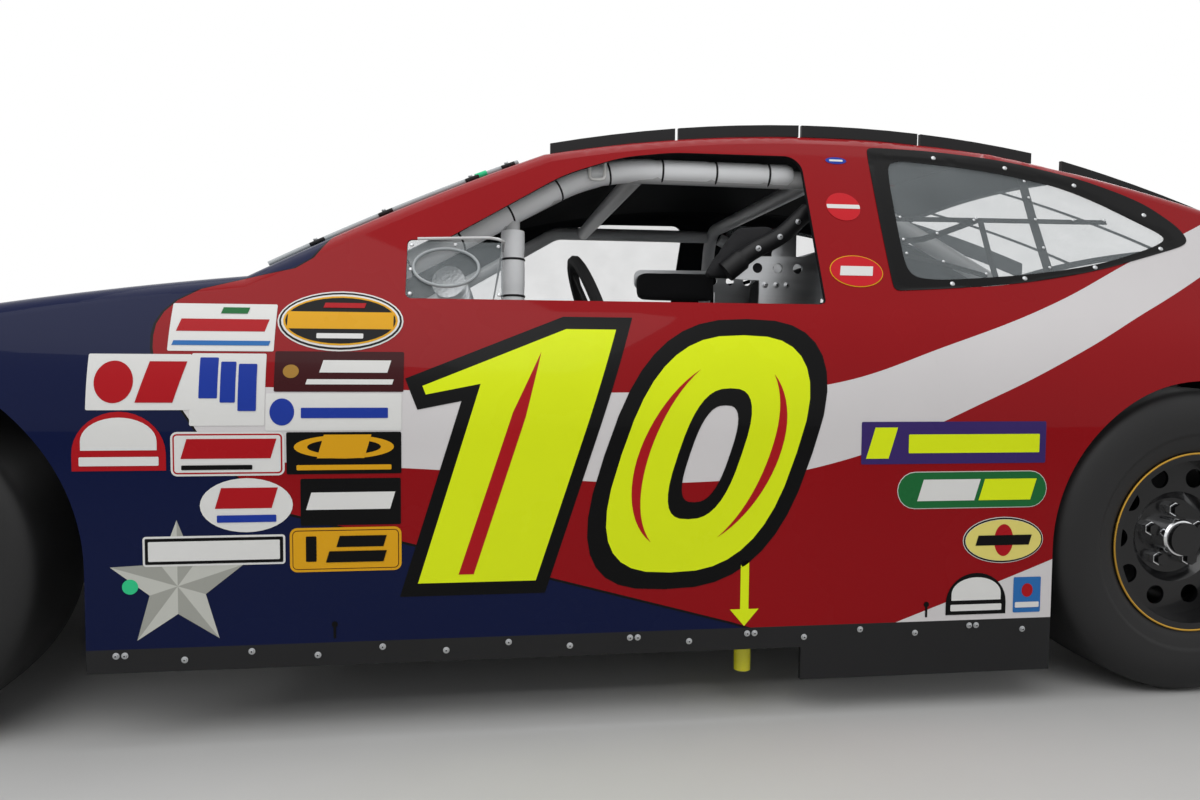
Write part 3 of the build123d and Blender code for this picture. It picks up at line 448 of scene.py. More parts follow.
def outer_point(tree, spot, way):
    """The body's outer point on a line, read past the gaps between panels, and the way it faces."""
    way = Vector(way)
    across = way.orthogonal().normalized() * GAP_REACH
    other = way.cross(across)
    best = None
    for shift in (Vector((0, 0, 0)), across, -across, other, -other):
        hit, normal, _, _ = tree.ray_cast(spot - way * FAR + shift, way)
        if hit and (best is None or (best[0] - hit).dot(way) > GAP_DEPTH):
            best = spot + way * (hit - spot).dot(way), normal if normal.dot(way) < 0 else -normal
    if best is None:
        raise RuntimeError(f"a film reaches past the body at {tuple(round(c, 3) for c in spot)}")
    return best


def side_point(tree, x, z, side):
    """The body's outer point beside (x, z)."""
    return outer_point(tree, Vector((x, 0, z)), (0, -side, 0))


def press(flat, tree, way, lift, thickness):
    """Presses a flat mesh onto a surface along a direction and gives it a thickness."""
    way = Vector(way)
    for vert in flat.verts:
        spot, out = outer_point(tree, vert.co, way)
        vert.co = spot + out * lift
    bmesh.ops.recalc_face_normals(flat, faces=flat.faces[:])
    if sum(f.normal.dot(way) for f in flat.faces) > 0:
        bmesh.ops.reverse_faces(flat, faces=flat.faces[:])
    bmesh.ops.solidify(flat, geom=flat.faces[:], thickness=thickness)


def lay_film(bm, outline, tree, axes, way, cuts, layer, slot_index):
    """Lays an outline drawn on two axes on the body as a thin film in a numbered layer, cut so that it can bend."""
    flat = bmesh.new()
    flat.faces.new([flat.verts.new(on_axes(point, axes)) for point in outline])
    for axis, step in cuts:
        values = [point[axes.index(axis)] for point in outline]
        normal = Vector([1.0 if i == axis else 0.0 for i in range(3)])
        at = min(values) + step / 2
        while at < max(values):
            everything = flat.verts[:] + flat.edges[:] + flat.faces[:]
            bmesh.ops.bisect_plane(flat, geom=everything, plane_co=normal * at, plane_no=normal, dist=1e-6)
            at += step
    film = sizes().film
    press(flat, tree, way, (FILM_LIFT + LAYER_LIFT * layer) * film, film * FILM_BODY)
    merge_into(bm, flat, slot_index)


def film_shape(bm, outline, tree, side, layer, slot_index=0):
    """Lays an outline of (x, z) points on the car's side as a film."""
    cuts = (2, BEND_STEP), (0, LENGTH_STEP)
    lay_film(bm, outline, tree, (0, 2), (0, -side, 0), cuts, layer, slot_index)


def view_film(bm, outline, view, tree, layer, slot_index=0):
    """Lays an outline drawn in the front, rear or top view on the body as a film."""
    first, second, way = VIEWS[view]
    lay_film(bm, outline, tree, (first, second), way, ((first, VIEW_STEP), (second, VIEW_STEP)), layer, slot_index)


# Outlines
def rounded(cx, cz, width, height, radius, steps=5):
    """The outline of a rounded plate."""
    radius = min(radius, width / 2, height / 2)
    points = []
    for quarter, (sx, sz) in enumerate(((1, 1), (-1, 1), (-1, -1), (1, -1))):
        mx, mz = cx + sx * (width / 2 - radius), cz + sz * (height / 2 - radius)
        for i in range(steps + 1):
            a = pi / 2 * (quarter + i / steps)
            points.append((mx + radius * cos(a), mz + radius * sin(a)))
    return [p for i, p in enumerate(points) if (Vector(p) - Vector(points[i - 1])).length > 1e-4]


def oval(cx, cz, width, height, steps=36):
    """The outline of an oval plate."""
    turns = [FULL_TURN * i / steps for i in range(steps)]
    return [(cx + width / 2 * cos(a), cz + height / 2 * sin(a)) for a in turns]


def half_round(cx, base_z, width, height, steps=18, foot=0.28):
    """A plate with a flat foot, which takes a share of its height, and a round top."""
    half, low = width / 2, base_z + height * foot
    arc = [(cx + half * cos(pi * i / steps), low + height * (1 - foot) * sin(pi * i / steps)) for i in range(1, steps)]
    return [(cx + half, base_z), (cx + half, low)] + arc + [(cx - half, low), (cx - half, base_z)]


def bar(cx, cz, width, height, lean=0.3):
    """A bar with leaning ends."""
    shift, half, tall = lean * height / 2, width / 2, height / 2
    return [(cx - half - shift, cz - tall), (cx + half - shift, cz - tall), (cx + half + shift, cz + tall),
            (cx - half + shift, cz + tall)]


def shape_of(kind, cx, cz, width, height, corner=0.003):
    """The outline of one kind of plate or mark."""
    if kind == "half":
        return half_round(cx, cz - height / 2, width, height)
    if kind in ("oval", "disc"):
        return oval(cx, cz, width, height)
    if kind == "bar":
        return bar(cx, cz, width, height)
    return rounded(cx, cz, width, height, 0.002 if kind == "block" else corner)


def inset_outline(outline, width):
    """An outline drawn in by an even width."""
    count = len(outline)
    area = sum(outline[i - 1][0] * outline[i][1] - outline[i][0] * outline[i - 1][1] for i in range(count))
    turn = 1 if area > 0 else -1
    result = []
    for i in range(count):
        a, b, c = (Vector(outline[(i + k) % count]) for k in (-1, 0, 1))
        before, after = (b - a).normalized(), (c - b).normalized()
        n1 = Vector((-before.y, before.x)) * turn
        n2 = Vector((-after.y, after.x)) * turn
        mitre = (n1 + n2).normalized()
        result.append(tuple(b + mitre * (width / max(mitre.dot(n1), 0.35))))
    return result


# Door number, as (x, z) outlines: its middle, the one with its accent, and the zero's sizes
NUMBER_CENTRE = -0.045
ONE = [
    (-0.513, 0.283), (-0.225, 0.283), (-0.040, 0.843), (-0.185, 0.843), (-0.502, 0.716), (-0.478, 0.655),
    (-0.392, 0.672)]
ONE_EDGE = 0.026
ONE_ACCENT = [(-0.398, 0.325), (-0.368, 0.325), (-0.265, 0.640), (-0.232, 0.770), (-0.290, 0.650)]
ZERO_CENTRE = (0.115, 0.563)
ZERO_SIZE, ZERO_EDGE = (0.44, 0.56), 0.07
ZERO_HOLE, HOLE_EDGE = (0.085, 0.20), (0.05, 0.07)
ZERO_ACCENT, ACCENT_WIDTH, ACCENT_ARCS = (0.30, 0.40), 0.022, ((120, 245), (-60, 55))
SLANT = 0.33


def slanted(outline):
    """The zero's outline leaned to the rear as it rises."""
    return [(x + SLANT * (z - ZERO_CENTRE[1]), z) for x, z in outline]


def zero_oval(width, height, steps=36, power=0.72):
    """A squared oval about the zero's middle, as block digits have."""
    points = []
    for i in range(steps):
        c, s = cos(FULL_TURN * i / steps), sin(FULL_TURN * i / steps)
        points.append((ZERO_CENTRE[0] + width / 2 * abs(c) ** power * (1 if c >= 0 else -1),
                       ZERO_CENTRE[1] + height / 2 * abs(s) ** power * (1 if s >= 0 else -1)))
    return slanted(points)


def zero_ring(outer, inner):
    """A ring as two half outlines that meet on its long axis."""
    half = len(outer) // 2
    first = outer[:half + 1] + list(reversed(inner[:half + 1]))
    second = outer[half:] + outer[:1] + list(reversed(inner[half:] + inner[:1]))
    return [first, second]


def crescent(first, last, steps=22):
    """A slim curved sliver inside the zero, pointed at both ends."""
    (cx, cz), (width, height) = ZERO_CENTRE, ZERO_ACCENT
    outer, inner = [], []
    for i in range(steps + 1):
        a = radians(first + (last - first) * i / steps)
        swell = ACCENT_WIDTH * sin(pi * i / steps)
        outer.append((cx + width / 2 * cos(a), cz + height / 2 * sin(a)))
        if 0 < i < steps:
            inner.append((cx + (width / 2 - swell) * cos(a), cz + (height / 2 - swell) * sin(a)))
    return slanted(outer + list(reversed(inner)))


def dress_number(side, tree):
    """The door number: a black shape, a yellow one on it and slim red accents."""
    bm = bmesh.new()
    face = zero_oval(*(size - ZERO_EDGE for size in ZERO_SIZE))
    edge = zero_oval(*(size + extra for size, extra in zip(ZERO_HOLE, HOLE_EDGE)))
    black = [ONE] + zero_ring(zero_oval(*ZERO_SIZE), zero_oval(*ZERO_HOLE))
    yellow = [inset_outline(ONE, ONE_EDGE)] + zero_ring(face, edge)
    red = [ONE_ACCENT] + [crescent(*arc) for arc in ACCENT_ARCS]
    for layer, outlines in enumerate((black, yellow, red)):
        for outline in outlines:
            # On the right side the outline is turned end for end, so that it reads the right way
            shape = outline if side < 0 else [(2 * NUMBER_CENTRE - x, z) for x, z in outline]
            film_shape(bm, shape, tree, side, layer, layer)
    return bm


# Blank plates on the side. Outline: kind, x, z, width, height, corner radius. A rim is a colour, how far in, how wide.
# Marks are plain shapes: kind, x and z from the plate's middle, width, height, colour.
PLATES = (
    ("fender_1", "plate", -0.853, 0.814, 0.197, 0.093, 0.003, "white", None,
     (("bar", 0, 0.004, 0.165, 0.024, "red"), ("bar", 0, -0.031, 0.180, 0.009, "sky"),
      ("bar", 0.02, 0.033, 0.05, 0.012, "green"))),
    ("fender_2", "plate", -0.998, 0.708, 0.186, 0.106, 0.003, "white", None,
     (("disc", -0.045, 0, 0.070, 0.080, "red"), ("bar", 0.040, 0, 0.068, 0.078, "red"))),
    ("fender_3", "plate", -0.836, 0.694, 0.138, 0.138, 0.003, "white", None,
     (("block", -0.036, 0.022, 0.034, 0.078, "royal_blue"), ("block", 0.000, 0.014, 0.028, 0.078, "royal_blue"),
      ("block", 0.036, 0.004, 0.034, 0.090, "royal_blue"))),
    ("fender_4", "plate", -0.628, 0.729, 0.246, 0.078, 0.003, "dark_red", None,
     (("bar", 0.030, 0.010, 0.130, 0.024, "white"), ("bar", 0.020, -0.020, 0.165, 0.010, "white"),
      ("disc", -0.092, 0.0, 0.030, 0.026, "gold"))),
    ("fender_5", "plate", -0.637, 0.651, 0.257, 0.072, 0.003, "white", None,
     (("disc", -0.098, 0, 0.046, 0.052, "royal_blue"), ("block", 0.020, -0.002, 0.165, 0.020, "royal_blue"))),
    ("fender_6", "plate", -0.835, 0.571, 0.209, 0.085, 0.012, "white", ("red", 0.004, 0.003),
     (("bar", 0.002, 0.010, 0.165, 0.038, "red"), ("block", -0.020, -0.026, 0.130, 0.009, "black"))),
    ("fender_7", "plate", -0.618, 0.571, 0.218, 0.082, 0.003, "black", None,
     (("disc", 0, 0.012, 0.190, 0.046, "yellow"), ("disc", 0, 0.012, 0.140, 0.030, "black"),
      ("bar", 0, 0.013, 0.090, 0.046, "yellow"), ("block", 0, -0.028, 0.180, 0.010, "yellow"))),
    ("fender_8", "plate", -0.606, 0.475, 0.191, 0.092, 0.003, "black", None,
     (("bar", 0, 0.002, 0.160, 0.034, "white"),)),
    ("fender_9", "plate", -0.862, 0.384, 0.262, 0.058, 0.006, "white", ("black", 0.004, 0.006), ()),
    ("fender_10", "plate", -0.616, 0.381, 0.213, 0.087, 0.014, "yellow", ("dark_red", 0.005, 0.0015),
     (("block", -0.066, 0.002, 0.020, 0.050, "black"), ("bar", 0.030, 0.016, 0.090, 0.022, "black"),
      ("bar", 0.020, -0.014, 0.110, 0.022, "black"))),
    ("fender_11", "oval", -0.630, 0.829, 0.244, 0.121, 0, "white", ("black", 0.003, 0.004),
     (("disc", 0, 0, 0.222, 0.099, "yellow"), ("disc", 0, 0, 0.214, 0.092, "black"),
      ("block", 0, 0, 0.205, 0.034, "yellow"), ("block", 0, -0.031, 0.090, 0.010, "white"),
      ("bar", 0.006, 0.030, 0.080, 0.010, "red"))),
    ("fender_12", "oval", -0.802, 0.471, 0.172, 0.105, 0, "white", None,
     (("bar", 0, 0.014, 0.105, 0.040, "red"), ("block", 0, -0.026, 0.110, 0.014, "royal_blue"))),
    ("fender_13", "half", -1.032, 0.540, 0.168, 0.112, 0, "red", None,
     (("half", 0, 0.014, 0.136, 0.062, "white"), ("block", 0, -0.038, 0.142, 0.017, "white"))),
    ("quarter_1", "plate", 0.653, 0.583, 0.421, 0.090, 0.003, "purple", None,
     (("bar", -0.165, 0, 0.050, 0.066, "number_yellow"), ("block", 0.045, -0.002, 0.300, 0.040, "number_yellow"))),
    ("quarter_2", "plate", 0.697, 0.481, 0.344, 0.080, 0.040, "white", ("green", 0.0015, 0.0),
     (("bar", -0.055, 0, 0.130, 0.046, "white"), ("bar", 0.080, 0, 0.120, 0.046, "number_yellow"))),
    ("quarter_3", "oval", 0.771, 0.370, 0.187, 0.101, 0, "white", ("black", 0.0015, 0.0035),
     (("disc", 0, 0, 0.176, 0.090, "lemon"), ("disc", 0, 0, 0.044, 0.070, "red"),
      ("bar", 0, 0, 0.124, 0.022, "black"))),
    ("quarter_4", "half", 0.712, 0.208, 0.139, 0.091, 0, "black", None,
     (("half", 0, 0.011, 0.114, 0.050, "white"), ("block", 0, -0.030, 0.118, 0.014, "white"))),
    ("quarter_5", "plate", 0.831, 0.248, 0.064, 0.078, 0.003, "sky", None,
     (("disc", 0, 0.010, 0.026, 0.030, "red"), ("block", 0, -0.022, 0.056, 0.012, "white"))),
    ("post_1", "oval", 0.490, 1.232, 0.052, 0.018, 0, "royal_blue", None, (("block", 0, 0, 0.034, 0.005, "white"),)),
    ("post_2", "oval", 0.482, 1.112, 0.082, 0.070, 0, "bright_red", None, (("block", 0, 0, 0.080, 0.010, "white"),)),
    ("post_3", "oval", 0.478, 0.955, 0.124, 0.074, 0, "yellow", ("bright_red", 0.002, 0.0),
     (("bar", 0, 0, 0.076, 0.022, "white"),)),
)
MARK_LIFT = 0.5  # in layers


def plate(name, kind, cx, cz, width, height, corner, colour, rim, marks, side, tree):
    """One blank plate: its film, its rim as two more, then plain marks."""
    bm = bmesh.new()
    if kind == "half":
        cz += height / 2
    looks = [colour]
    film_shape(bm, shape_of(kind, cx, cz, width, height, corner), tree, side, 0, 0)
    layer = 1
    if rim:
        shade, inset, wide = rim
        edges = (shade, inset), (colour, inset + wide)
        for look, cut in edges if wide else edges[:1]:
            outline = shape_of(kind, cx, cz, width - 2 * cut, height - 2 * cut, max(corner - cut, 0.002))
            looks.append(look)
            film_shape(bm, outline, tree, side, layer, layer)
            layer += 1
    for mark, dx, dz, wide, high, look in marks:
        looks.append(look)
        film_shape(bm, shape_of(mark, cx + dx, cz + dz, wide, high), tree, side, layer, len(looks) - 1)
        layer += MARK_LIFT
    make_piece(name, bm, looks)


ARROW = [
    (0.184, 0.340), (0.202, 0.340), (0.202, 0.236), (0.224, 0.236), (0.193, 0.200), (0.162, 0.236), (0.184, 0.236)]
DOT = (-1.017, 0.317, 0.029)
STAR_PLACE = (-0.931, 0.316)
STAR_REACH, STAR_WAIST = 0.128, 0.42
STAR_LAYER = -0.6  # under the other films' layers


class STOCKCAR_OT_graphics(bpy.types.Operator):
    """Lays the number, stars, arrow and blank plates on both sides"""
    bl_idname = "stock_car.graphics"
    bl_label = "Graphics"

    def execute(self, context):
        for name, side in SIDES:
            tree = node_tree_of(
                f"fender_{name}", f"side_panel_{name}", f"quarter_panel_{name}", f"sail_panel_{name}",
                "windshield_frame", "roof", "side_skirts")
            make_piece(f"number_{name}", dress_number(side, tree), ["black", "number_yellow", "red"])
            for label, *plan in PLATES:
                plate(f"plate_{label}_{name}", *plan, side, tree)
            for label, outline, look in (
                    ("jack_arrow", ARROW, "number_yellow"), ("dot", oval(*DOT, DOT[2]), "dot_green")):
                bm = bmesh.new()
                film_shape(bm, outline, tree, side, 0)
                make_piece(f"{label}_{name}", bm, [look])
            self.star(side, tree, f"star_{name}")
        return {"FINISHED"}

    def star(self, side, tree, name):
        """A five-pointed star of ten facets, light and dark by turns."""
        cx, cz = STAR_PLACE
        points = []
        for i in range(10):
            reach = STAR_REACH if i % 2 == 0 else STAR_REACH * STAR_WAIST
            points.append((cx + reach * cos(pi / 2 + pi / 5 * i), cz + reach * sin(pi / 2 + pi / 5 * i)))
        bm = bmesh.new()
        for i in range(10):
            film_shape(bm, [STAR_PLACE, points[i], points[(i + 1) % 10]], tree, side, STAR_LAYER, i % 2)
        make_piece(name, bm, ["silver", "silver_dark"])


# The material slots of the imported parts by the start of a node's name, a longer name before a shorter one.
# What isn't named here is body paint.
SLOTS = (
    ("body_paint", ("windshield_frame",)), ("padding", ("seat_padding",)), ("tyre", ("tyre",)),
    ("wheel_steel", ("rim",)), ("iron", ("knuckle", "engine", "rear_axle")), ("frame_steel", ("control_arms", "frame")),
    ("cage_paint", ("cage", "door_bars")), ("bare_steel", ("drive_shaft", "exhaust", "steering_column")),
    ("sheet_aluminium", ("radiator", "floor_pan", "firewall", "rear_bulkhead", "dashboard", "seat")),
    ("black_trim", ("fuel_cell", "roof_rails", "side_skirts", "splitter", "spoiler")), ("grip", ("steering_wheel",)),
    ("jack_yellow", ("jack_posts",)), ("clear_pane", ("windshield", "rear_window", "side_windows")))


class STOCKCAR_OT_cad_finishes(bpy.types.Operator):
    """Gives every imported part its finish"""
    bl_idname = "stock_car.cad_finishes"
    bl_label = "Finishes of the packed parts"

    def execute(self, context):
        for name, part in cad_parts.items():
            slot = next((slot for slot, starts in SLOTS if name.startswith(starts)), "body_paint")
            part.data.materials.clear()
            part.data.materials.append(finishes()[slot])
            part.data.shade_smooth()
            part.data.set_sharp_from_angle(angle=radians(25))
        return {"FINISHED"}


# Tyre, in millimetres of half width and radius from its middle
TYRE_PROFILE = [
    (119.0, 194), (123.5, 206), (128.0, 213), (130.5, 226), (134.0, 240), (134.6, 244), (136.6, 246), (137.2, 252),
    (139.0, 270), (139.6, 284), (138.4, 300), (136.0, 312), (132.5, 323), (127.5, 332), (121.0, 339), (112.0, 344),
    (98.0, 346.6), (70.0, 348.6), (36.0, 349.6), (0.0, 350.0)]
WHEEL_STEPS = 128
MM = 0.001
HUB_OUT = 0.038
RIM_EDGE = [
    (0.1255, 0.2005), (0.1285, 0.2005), (0.1295, 0.2025), (0.1285, 0.2045), (0.1255, 0.2045), (0.1255, 0.2005)]
LUG_COUNT, LUG_RADIUS, LUG_OUT = 5, 0.0635, HUB_OUT + 0.025
NUT_RADIUS, NUT_HOLE, NUT_HEIGHT = 0.0165, 0.0095, 0.028
STUD = ((-0.012, 0.0078, 0.022, 14, 0.001, 1),)
CAP_FACE = HUB_OUT + 0.050
CAP_PROFILE = [
    (0.030, 0.0), (0.030, 0.044), (CAP_FACE - 0.005, 0.044), (CAP_FACE - 0.001, 0.041), (CAP_FACE, 0.038),
    (CAP_FACE, 0.0)]
CAP_SCREW_RING = 0.027
CAP_SCREW = ((0.0002, 0.0055, 0.002, 16, 0.0005, 1), (0.0012, 0.0028, 0.0006, 6, 0, 2))
VALVE_X, VALVE_OUT, VALVE_Z = 0.168, 0.085, 0.02
VALVE = ((0, 0.004, 0.04, 12, 0.001, 1),)


def wheel_place(end, side_name):
    """The middle of a wheel, from its tyre's box."""
    low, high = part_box(f"tyre_{end}_{side_name}")
    return (Vector(low) + Vector(high)) / 2


def on_wheel(centre, side, angle, radius, out):
    """A spot on a wheel's outer face."""
    return centre + Vector((radius * cos(angle), side * out, radius * sin(angle)))


def spin_about_y(bm, points, centre, steps):
    """Turns a profile of (y, radius) points about the axle through a centre."""
    verts = [bm.verts.new((centre.x, centre.y + y, centre.z + r)) for y, r in points]
    edges = [bm.edges.new(pair) for pair in zip(verts, verts[1:])]
    bmesh.ops.spin(bm, geom=verts + edges, cent=centre, axis=(0, 1, 0), angle=FULL_TURN, steps=steps, use_merge=True)
    bmesh.ops.remove_doubles(bm, verts=bm.verts[:], dist=1e-6)
    bmesh.ops.recalc_face_normals(bm, faces=bm.faces[:])


class STOCKCAR_OT_tyres(bpy.types.Operator):
    """Turns the four slicks, with their mould rings and worn tread"""
    bl_idname = "stock_car.tyres"
    bl_label = "Tyres"

    def execute(self, context):
        half = [(y * MM, r * MM) for y, r in TYRE_PROFILE]
        profile = half + [(-y, r) for y, r in reversed(half[:-1])]
        for end in ENDS:
            for name, _ in SIDES:
                bm = bmesh.new()
                spin_about_y(bm, profile + profile[:1], wheel_place(end, name), WHEEL_STEPS)
                piece = make_piece(f"slick_{end}_{name}", bm, ["tyre"], 40, f"wheel_{end}_{name}")
                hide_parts(f"tyre_{end}_{name}")
        return {"FINISHED"}


class STOCKCAR_OT_wheel_fittings(bpy.types.Operator):
    """Adds the bright rim edge, open lug nuts, hub cap and valve of each wheel"""
    bl_idname = "stock_car.wheel_fittings"
    bl_label = "Wheel fittings"

    def execute(self, context):
        for end in ENDS:
            for name, side in SIDES:
                centre, wheel = wheel_place(end, name), f"{end}_{name}"
                bm = bmesh.new()
                spin_about_y(bm, [(side * y, r) for y, r in RIM_EDGE], centre, WHEEL_STEPS)
                make_piece(f"rim_edge_{wheel}", bm, ["bronze"], 40, f"wheel_{wheel}")
                self.nuts(centre, side, wheel)
                self.cap(centre, side, wheel)
        return {"FINISHED"}

    def nuts(self, centre, side, wheel):
        """Open hexagon nuts with the stud's end in each."""
        bm = bmesh.new()
        out = Vector((0, side, 0))
        for i in range(LUG_COUNT):
            spot = on_wheel(centre, side, pi / 2 + FULL_TURN / LUG_COUNT * i, LUG_RADIUS, LUG_OUT)
            nut = bmesh.new()
            bmesh.ops.create_circle(nut, cap_ends=False, segments=6, radius=NUT_RADIUS)
            outer = nut.edges[:]
            made = bmesh.ops.create_circle(nut, cap_ends=False, segments=12, radius=NUT_HOLE)
            inner = list({e for v in made["verts"] for e in v.link_edges})
            bmesh.ops.bridge_loops(nut, edges=outer + inner)
            bmesh.ops.solidify(nut, geom=nut.faces[:], thickness=NUT_HEIGHT)
            bmesh.ops.recalc_face_normals(nut, faces=nut.faces[:])
            soften(nut, [e for e in nut.edges if e.calc_face_angle(0) > radians(50)], 0.001)
            merge_into(bm, set_on(nut, spot, out), 0)
            stack(bm, spot, out, STUD)
        make_piece(f"lug_nuts_{wheel}", bm, ["chrome", "bronze"], 30, f"wheel_{wheel}")

    def cap(self, centre, side, wheel):
        """The drive flange's round cap with three recessed screws, and the tyre's valve."""
        bm = bmesh.new()
        out = Vector((0, side, 0))
        shell = bmesh.new()
        spin_about_y(shell, [(side * y, r) for y, r in CAP_PROFILE], centre, 48)
        merge_into(bm, shell, 0)
        for i in range(3):
            stack(bm, on_wheel(centre, side, radians(55) + FULL_TURN / 3 * i, CAP_SCREW_RING, CAP_FACE), out, CAP_SCREW)
        stack(bm, centre + Vector((VALVE_X, side * VALVE_OUT, VALVE_Z)), out, VALVE)
        make_piece(f"hub_cap_{wheel}", bm, ["chrome", "bare_steel", "black"], 30, f"wheel_{wheel}")


# Skirt bolts: their row, the ones that have a second bolt beside them, and one bolt as a stack of drums in heads
SKIRT_BOLT_START, SKIRT_BOLT_STEP, SKIRT_BOLT_COUNT = -1.045, 0.1245, 16
SKIRT_BOLT_Z, SKIRT_BOLT_DROP = 0.184, 0.012
SKIRT_BOLT_PAIRS, SKIRT_BOLT_APART = (0, 8, 10, 14), 0.016
WASHER_BOLT = (
    (0.0008, 0.50, 0.0016, 20, 0.0004, 0), (0.0028, 0.30, 0.0034, 16, 0.0008, 0), (0.0046, 0.13, 0.0008, 6, 0, 1))


class STOCKCAR_OT_fasteners(bpy.types.Operator):
    """Adds the skirt bolts"""
    bl_idname = "stock_car.fasteners"
    bl_label = "Fasteners"

    def execute(self, context):
        skirts = node_tree_of("side_skirts")
        for name, side in SIDES:
            bm = bmesh.new()
            for i in range(SKIRT_BOLT_COUNT):
                x = SKIRT_BOLT_START + SKIRT_BOLT_STEP * i
                for extra in ((0, SKIRT_BOLT_APART) if i in SKIRT_BOLT_PAIRS else (0,)):
                    start = (x + extra, side * FAR / 2, SKIRT_BOLT_Z - SKIRT_BOLT_DROP * (i % 2))
                    stack(bm, *surface_at(skirts, start, (0, -side, 0)), WASHER_BOLT, sizes().bolt)
            make_piece(f"skirt_bolts_{name}", bm, ["zinc", "black"], 30)
        return {"FINISHED"}


# Windows, as (x, z) outlines in the side view
QUARTER_GLASS = [
    (0.558, 0.9115), (0.590, 0.9125), (0.699, 0.919), (0.883, 0.935), (1.074, 0.968), (1.256, 1.0165), (1.318, 1.034),
    (1.338, 1.047), (1.338, 1.064), (1.322, 1.092), (1.268, 1.140), (1.208, 1.170), (1.107, 1.208), (0.932, 1.249),
    (0.750, 1.267), (0.610, 1.271), (0.578, 1.270), (0.573, 1.255), (0.5625, 1.080), (0.556, 0.930)]
QUARTER_CLEAR = [
    (0.625, 0.941), (0.679, 0.938), (0.768, 0.944), (0.864, 0.952), (0.963, 0.964), (1.032, 0.975), (1.102, 0.989),
    (1.177, 1.010), (1.240, 1.030), (1.275, 1.046), (1.280, 1.056), (1.270, 1.066), (1.235, 1.088), (1.176, 1.122),
    (1.092, 1.164), (1.020, 1.189), (0.919, 1.210), (0.829, 1.223), (0.737, 1.232), (0.662, 1.237), (0.635, 1.235),
    (0.619, 1.222), (0.612, 1.180), (0.603, 1.065), (0.598, 0.975), (0.607, 0.951)]
BORDER_RIVETS = (
    (0.742, 1.26), (0.924, 1.24), (1.099, 1.20), (1.266, 1.13), (1.259, 1.02), (1.073, 0.97), (0.885, 0.94),
    (0.701, 0.92))
# Straps behind the pane: width, (x, z) points, rivets by their share of the length
STRAPS = (
    (0.011, ((0.606, 1.0905), (0.806, 1.093), (1.057, 1.0955), (1.150, 1.097)), (0.02, 0.37, 0.65, 0.83, 0.98)),
    (0.022, ((0.966, 1.205), (0.958, 1.093), (0.953, 0.962)), (0.04, 0.22, 0.75, 0.95)),
    (0.013, ((0.602, 1.034), (0.660, 1.041), (0.701, 1.053), (0.760, 1.074), (0.811, 1.092)), (0.04, 0.45, 0.95)),
    (0.011, ((0.602, 1.003), (0.694, 0.983), (0.796, 0.954)), (0.04, 0.47, 0.97)),
    (0.014, ((0.822, 1.092), (0.818, 1.02), (0.816, 0.952)), ()),
)
STRAP_IN, STRAP_BODY = -0.0065, 0.002
BORDER_OUT, BORDER_BODY = 0.0014, 0.0006
LOOP_POINTS = 240


def smooth_loop(outline, count, rounding):
    """An outline with its corners rounded, as evenly spaced points."""
    corners = [Vector(p) for p in outline]
    dense = []
    for i, corner in enumerate(corners):
        before = corner.lerp(corners[i - 1], rounding)
        after = corner.lerp(corners[(i + 1) % len(corners)], rounding)
        for k in range(12):
            t = k / 12
            dense.append(before.lerp(corner, t).lerp(corner.lerp(after, t), t))
    lengths = [(dense[(i + 1) % len(dense)] - dense[i]).length for i in range(len(dense))]
    step = sum(lengths) / count
    result, run, goal = [], 0.0, 0.0
    for i, length in enumerate(lengths):
        while goal < run + length and len(result) < count:
            result.append(dense[i].lerp(dense[(i + 1) % len(dense)], (goal - run) / length))
            goal += step
        run += length
    return result


def start_together(loop, other):
    """Turns a loop's order so that it starts nearest the other's start."""
    first = min(range(len(loop)), key=lambda i: (loop[i] - other[0]).length)
    return loop[first:] + loop[:first]


def band(outer, inner, rows, axes=(0, 2)):
    """A flat ring between two loops of as many points, in rows."""
    spots = [[on_axes(a.lerp(b, row / rows), axes) for a, b in zip(outer, inner)] for row in range(rows + 1)]
    return sheet(spots, closed=True)


def rivet(bm, spot, out, width):
    """A domed rivet."""
    part = bmesh.new()
    bmesh.ops.create_uvsphere(part, u_segments=14, v_segments=8, radius=width / 2)
    everything = part.verts[:] + part.edges[:] + part.faces[:]
    bmesh.ops.bisect_plane(part, geom=everything, plane_co=(0, 0, 0), plane_no=(0, 0, -1), clear_outer=True)
    bmesh.ops.scale(part, vec=(1, 1, 0.5), verts=part.verts)
    bmesh.ops.holes_fill(part, edges=part.edges[:], sides=0)
    merge_into(bm, set_on(part, spot, out), 0)


def ribbon(points, width):
    """A flat strip of even width along points, as a mesh in the side view."""
    spots = [Vector(p) for p in points]
    rows = []
    for i, spot in enumerate(spots):
        ahead = (spots[min(i + 1, len(spots) - 1)] - spots[max(i - 1, 0)]).normalized()
        across = Vector((-ahead.y, ahead.x)) * width / 2
        rows.append([on_axes(c, (0, 2)) for c in (spot - across, spot + across)])
    flat = sheet(rows)
    edges = [e for e in flat.edges if len(e.link_faces) > 1 or e.calc_length() > width * 1.5]
    bmesh.ops.subdivide_edges(flat, edges=edges, cuts=3, use_grid_fill=True)
    return flat


def along(points, share):
    """The point at a share of a line's length."""
    spots = [Vector(p) for p in points]
    left = share * sum((b - a).length for a, b in zip(spots, spots[1:]))
    for a, b in zip(spots, spots[1:]):
        if left <= (b - a).length:
            return a.lerp(b, left / (b - a).length)
        left -= (b - a).length
    return spots[-1]


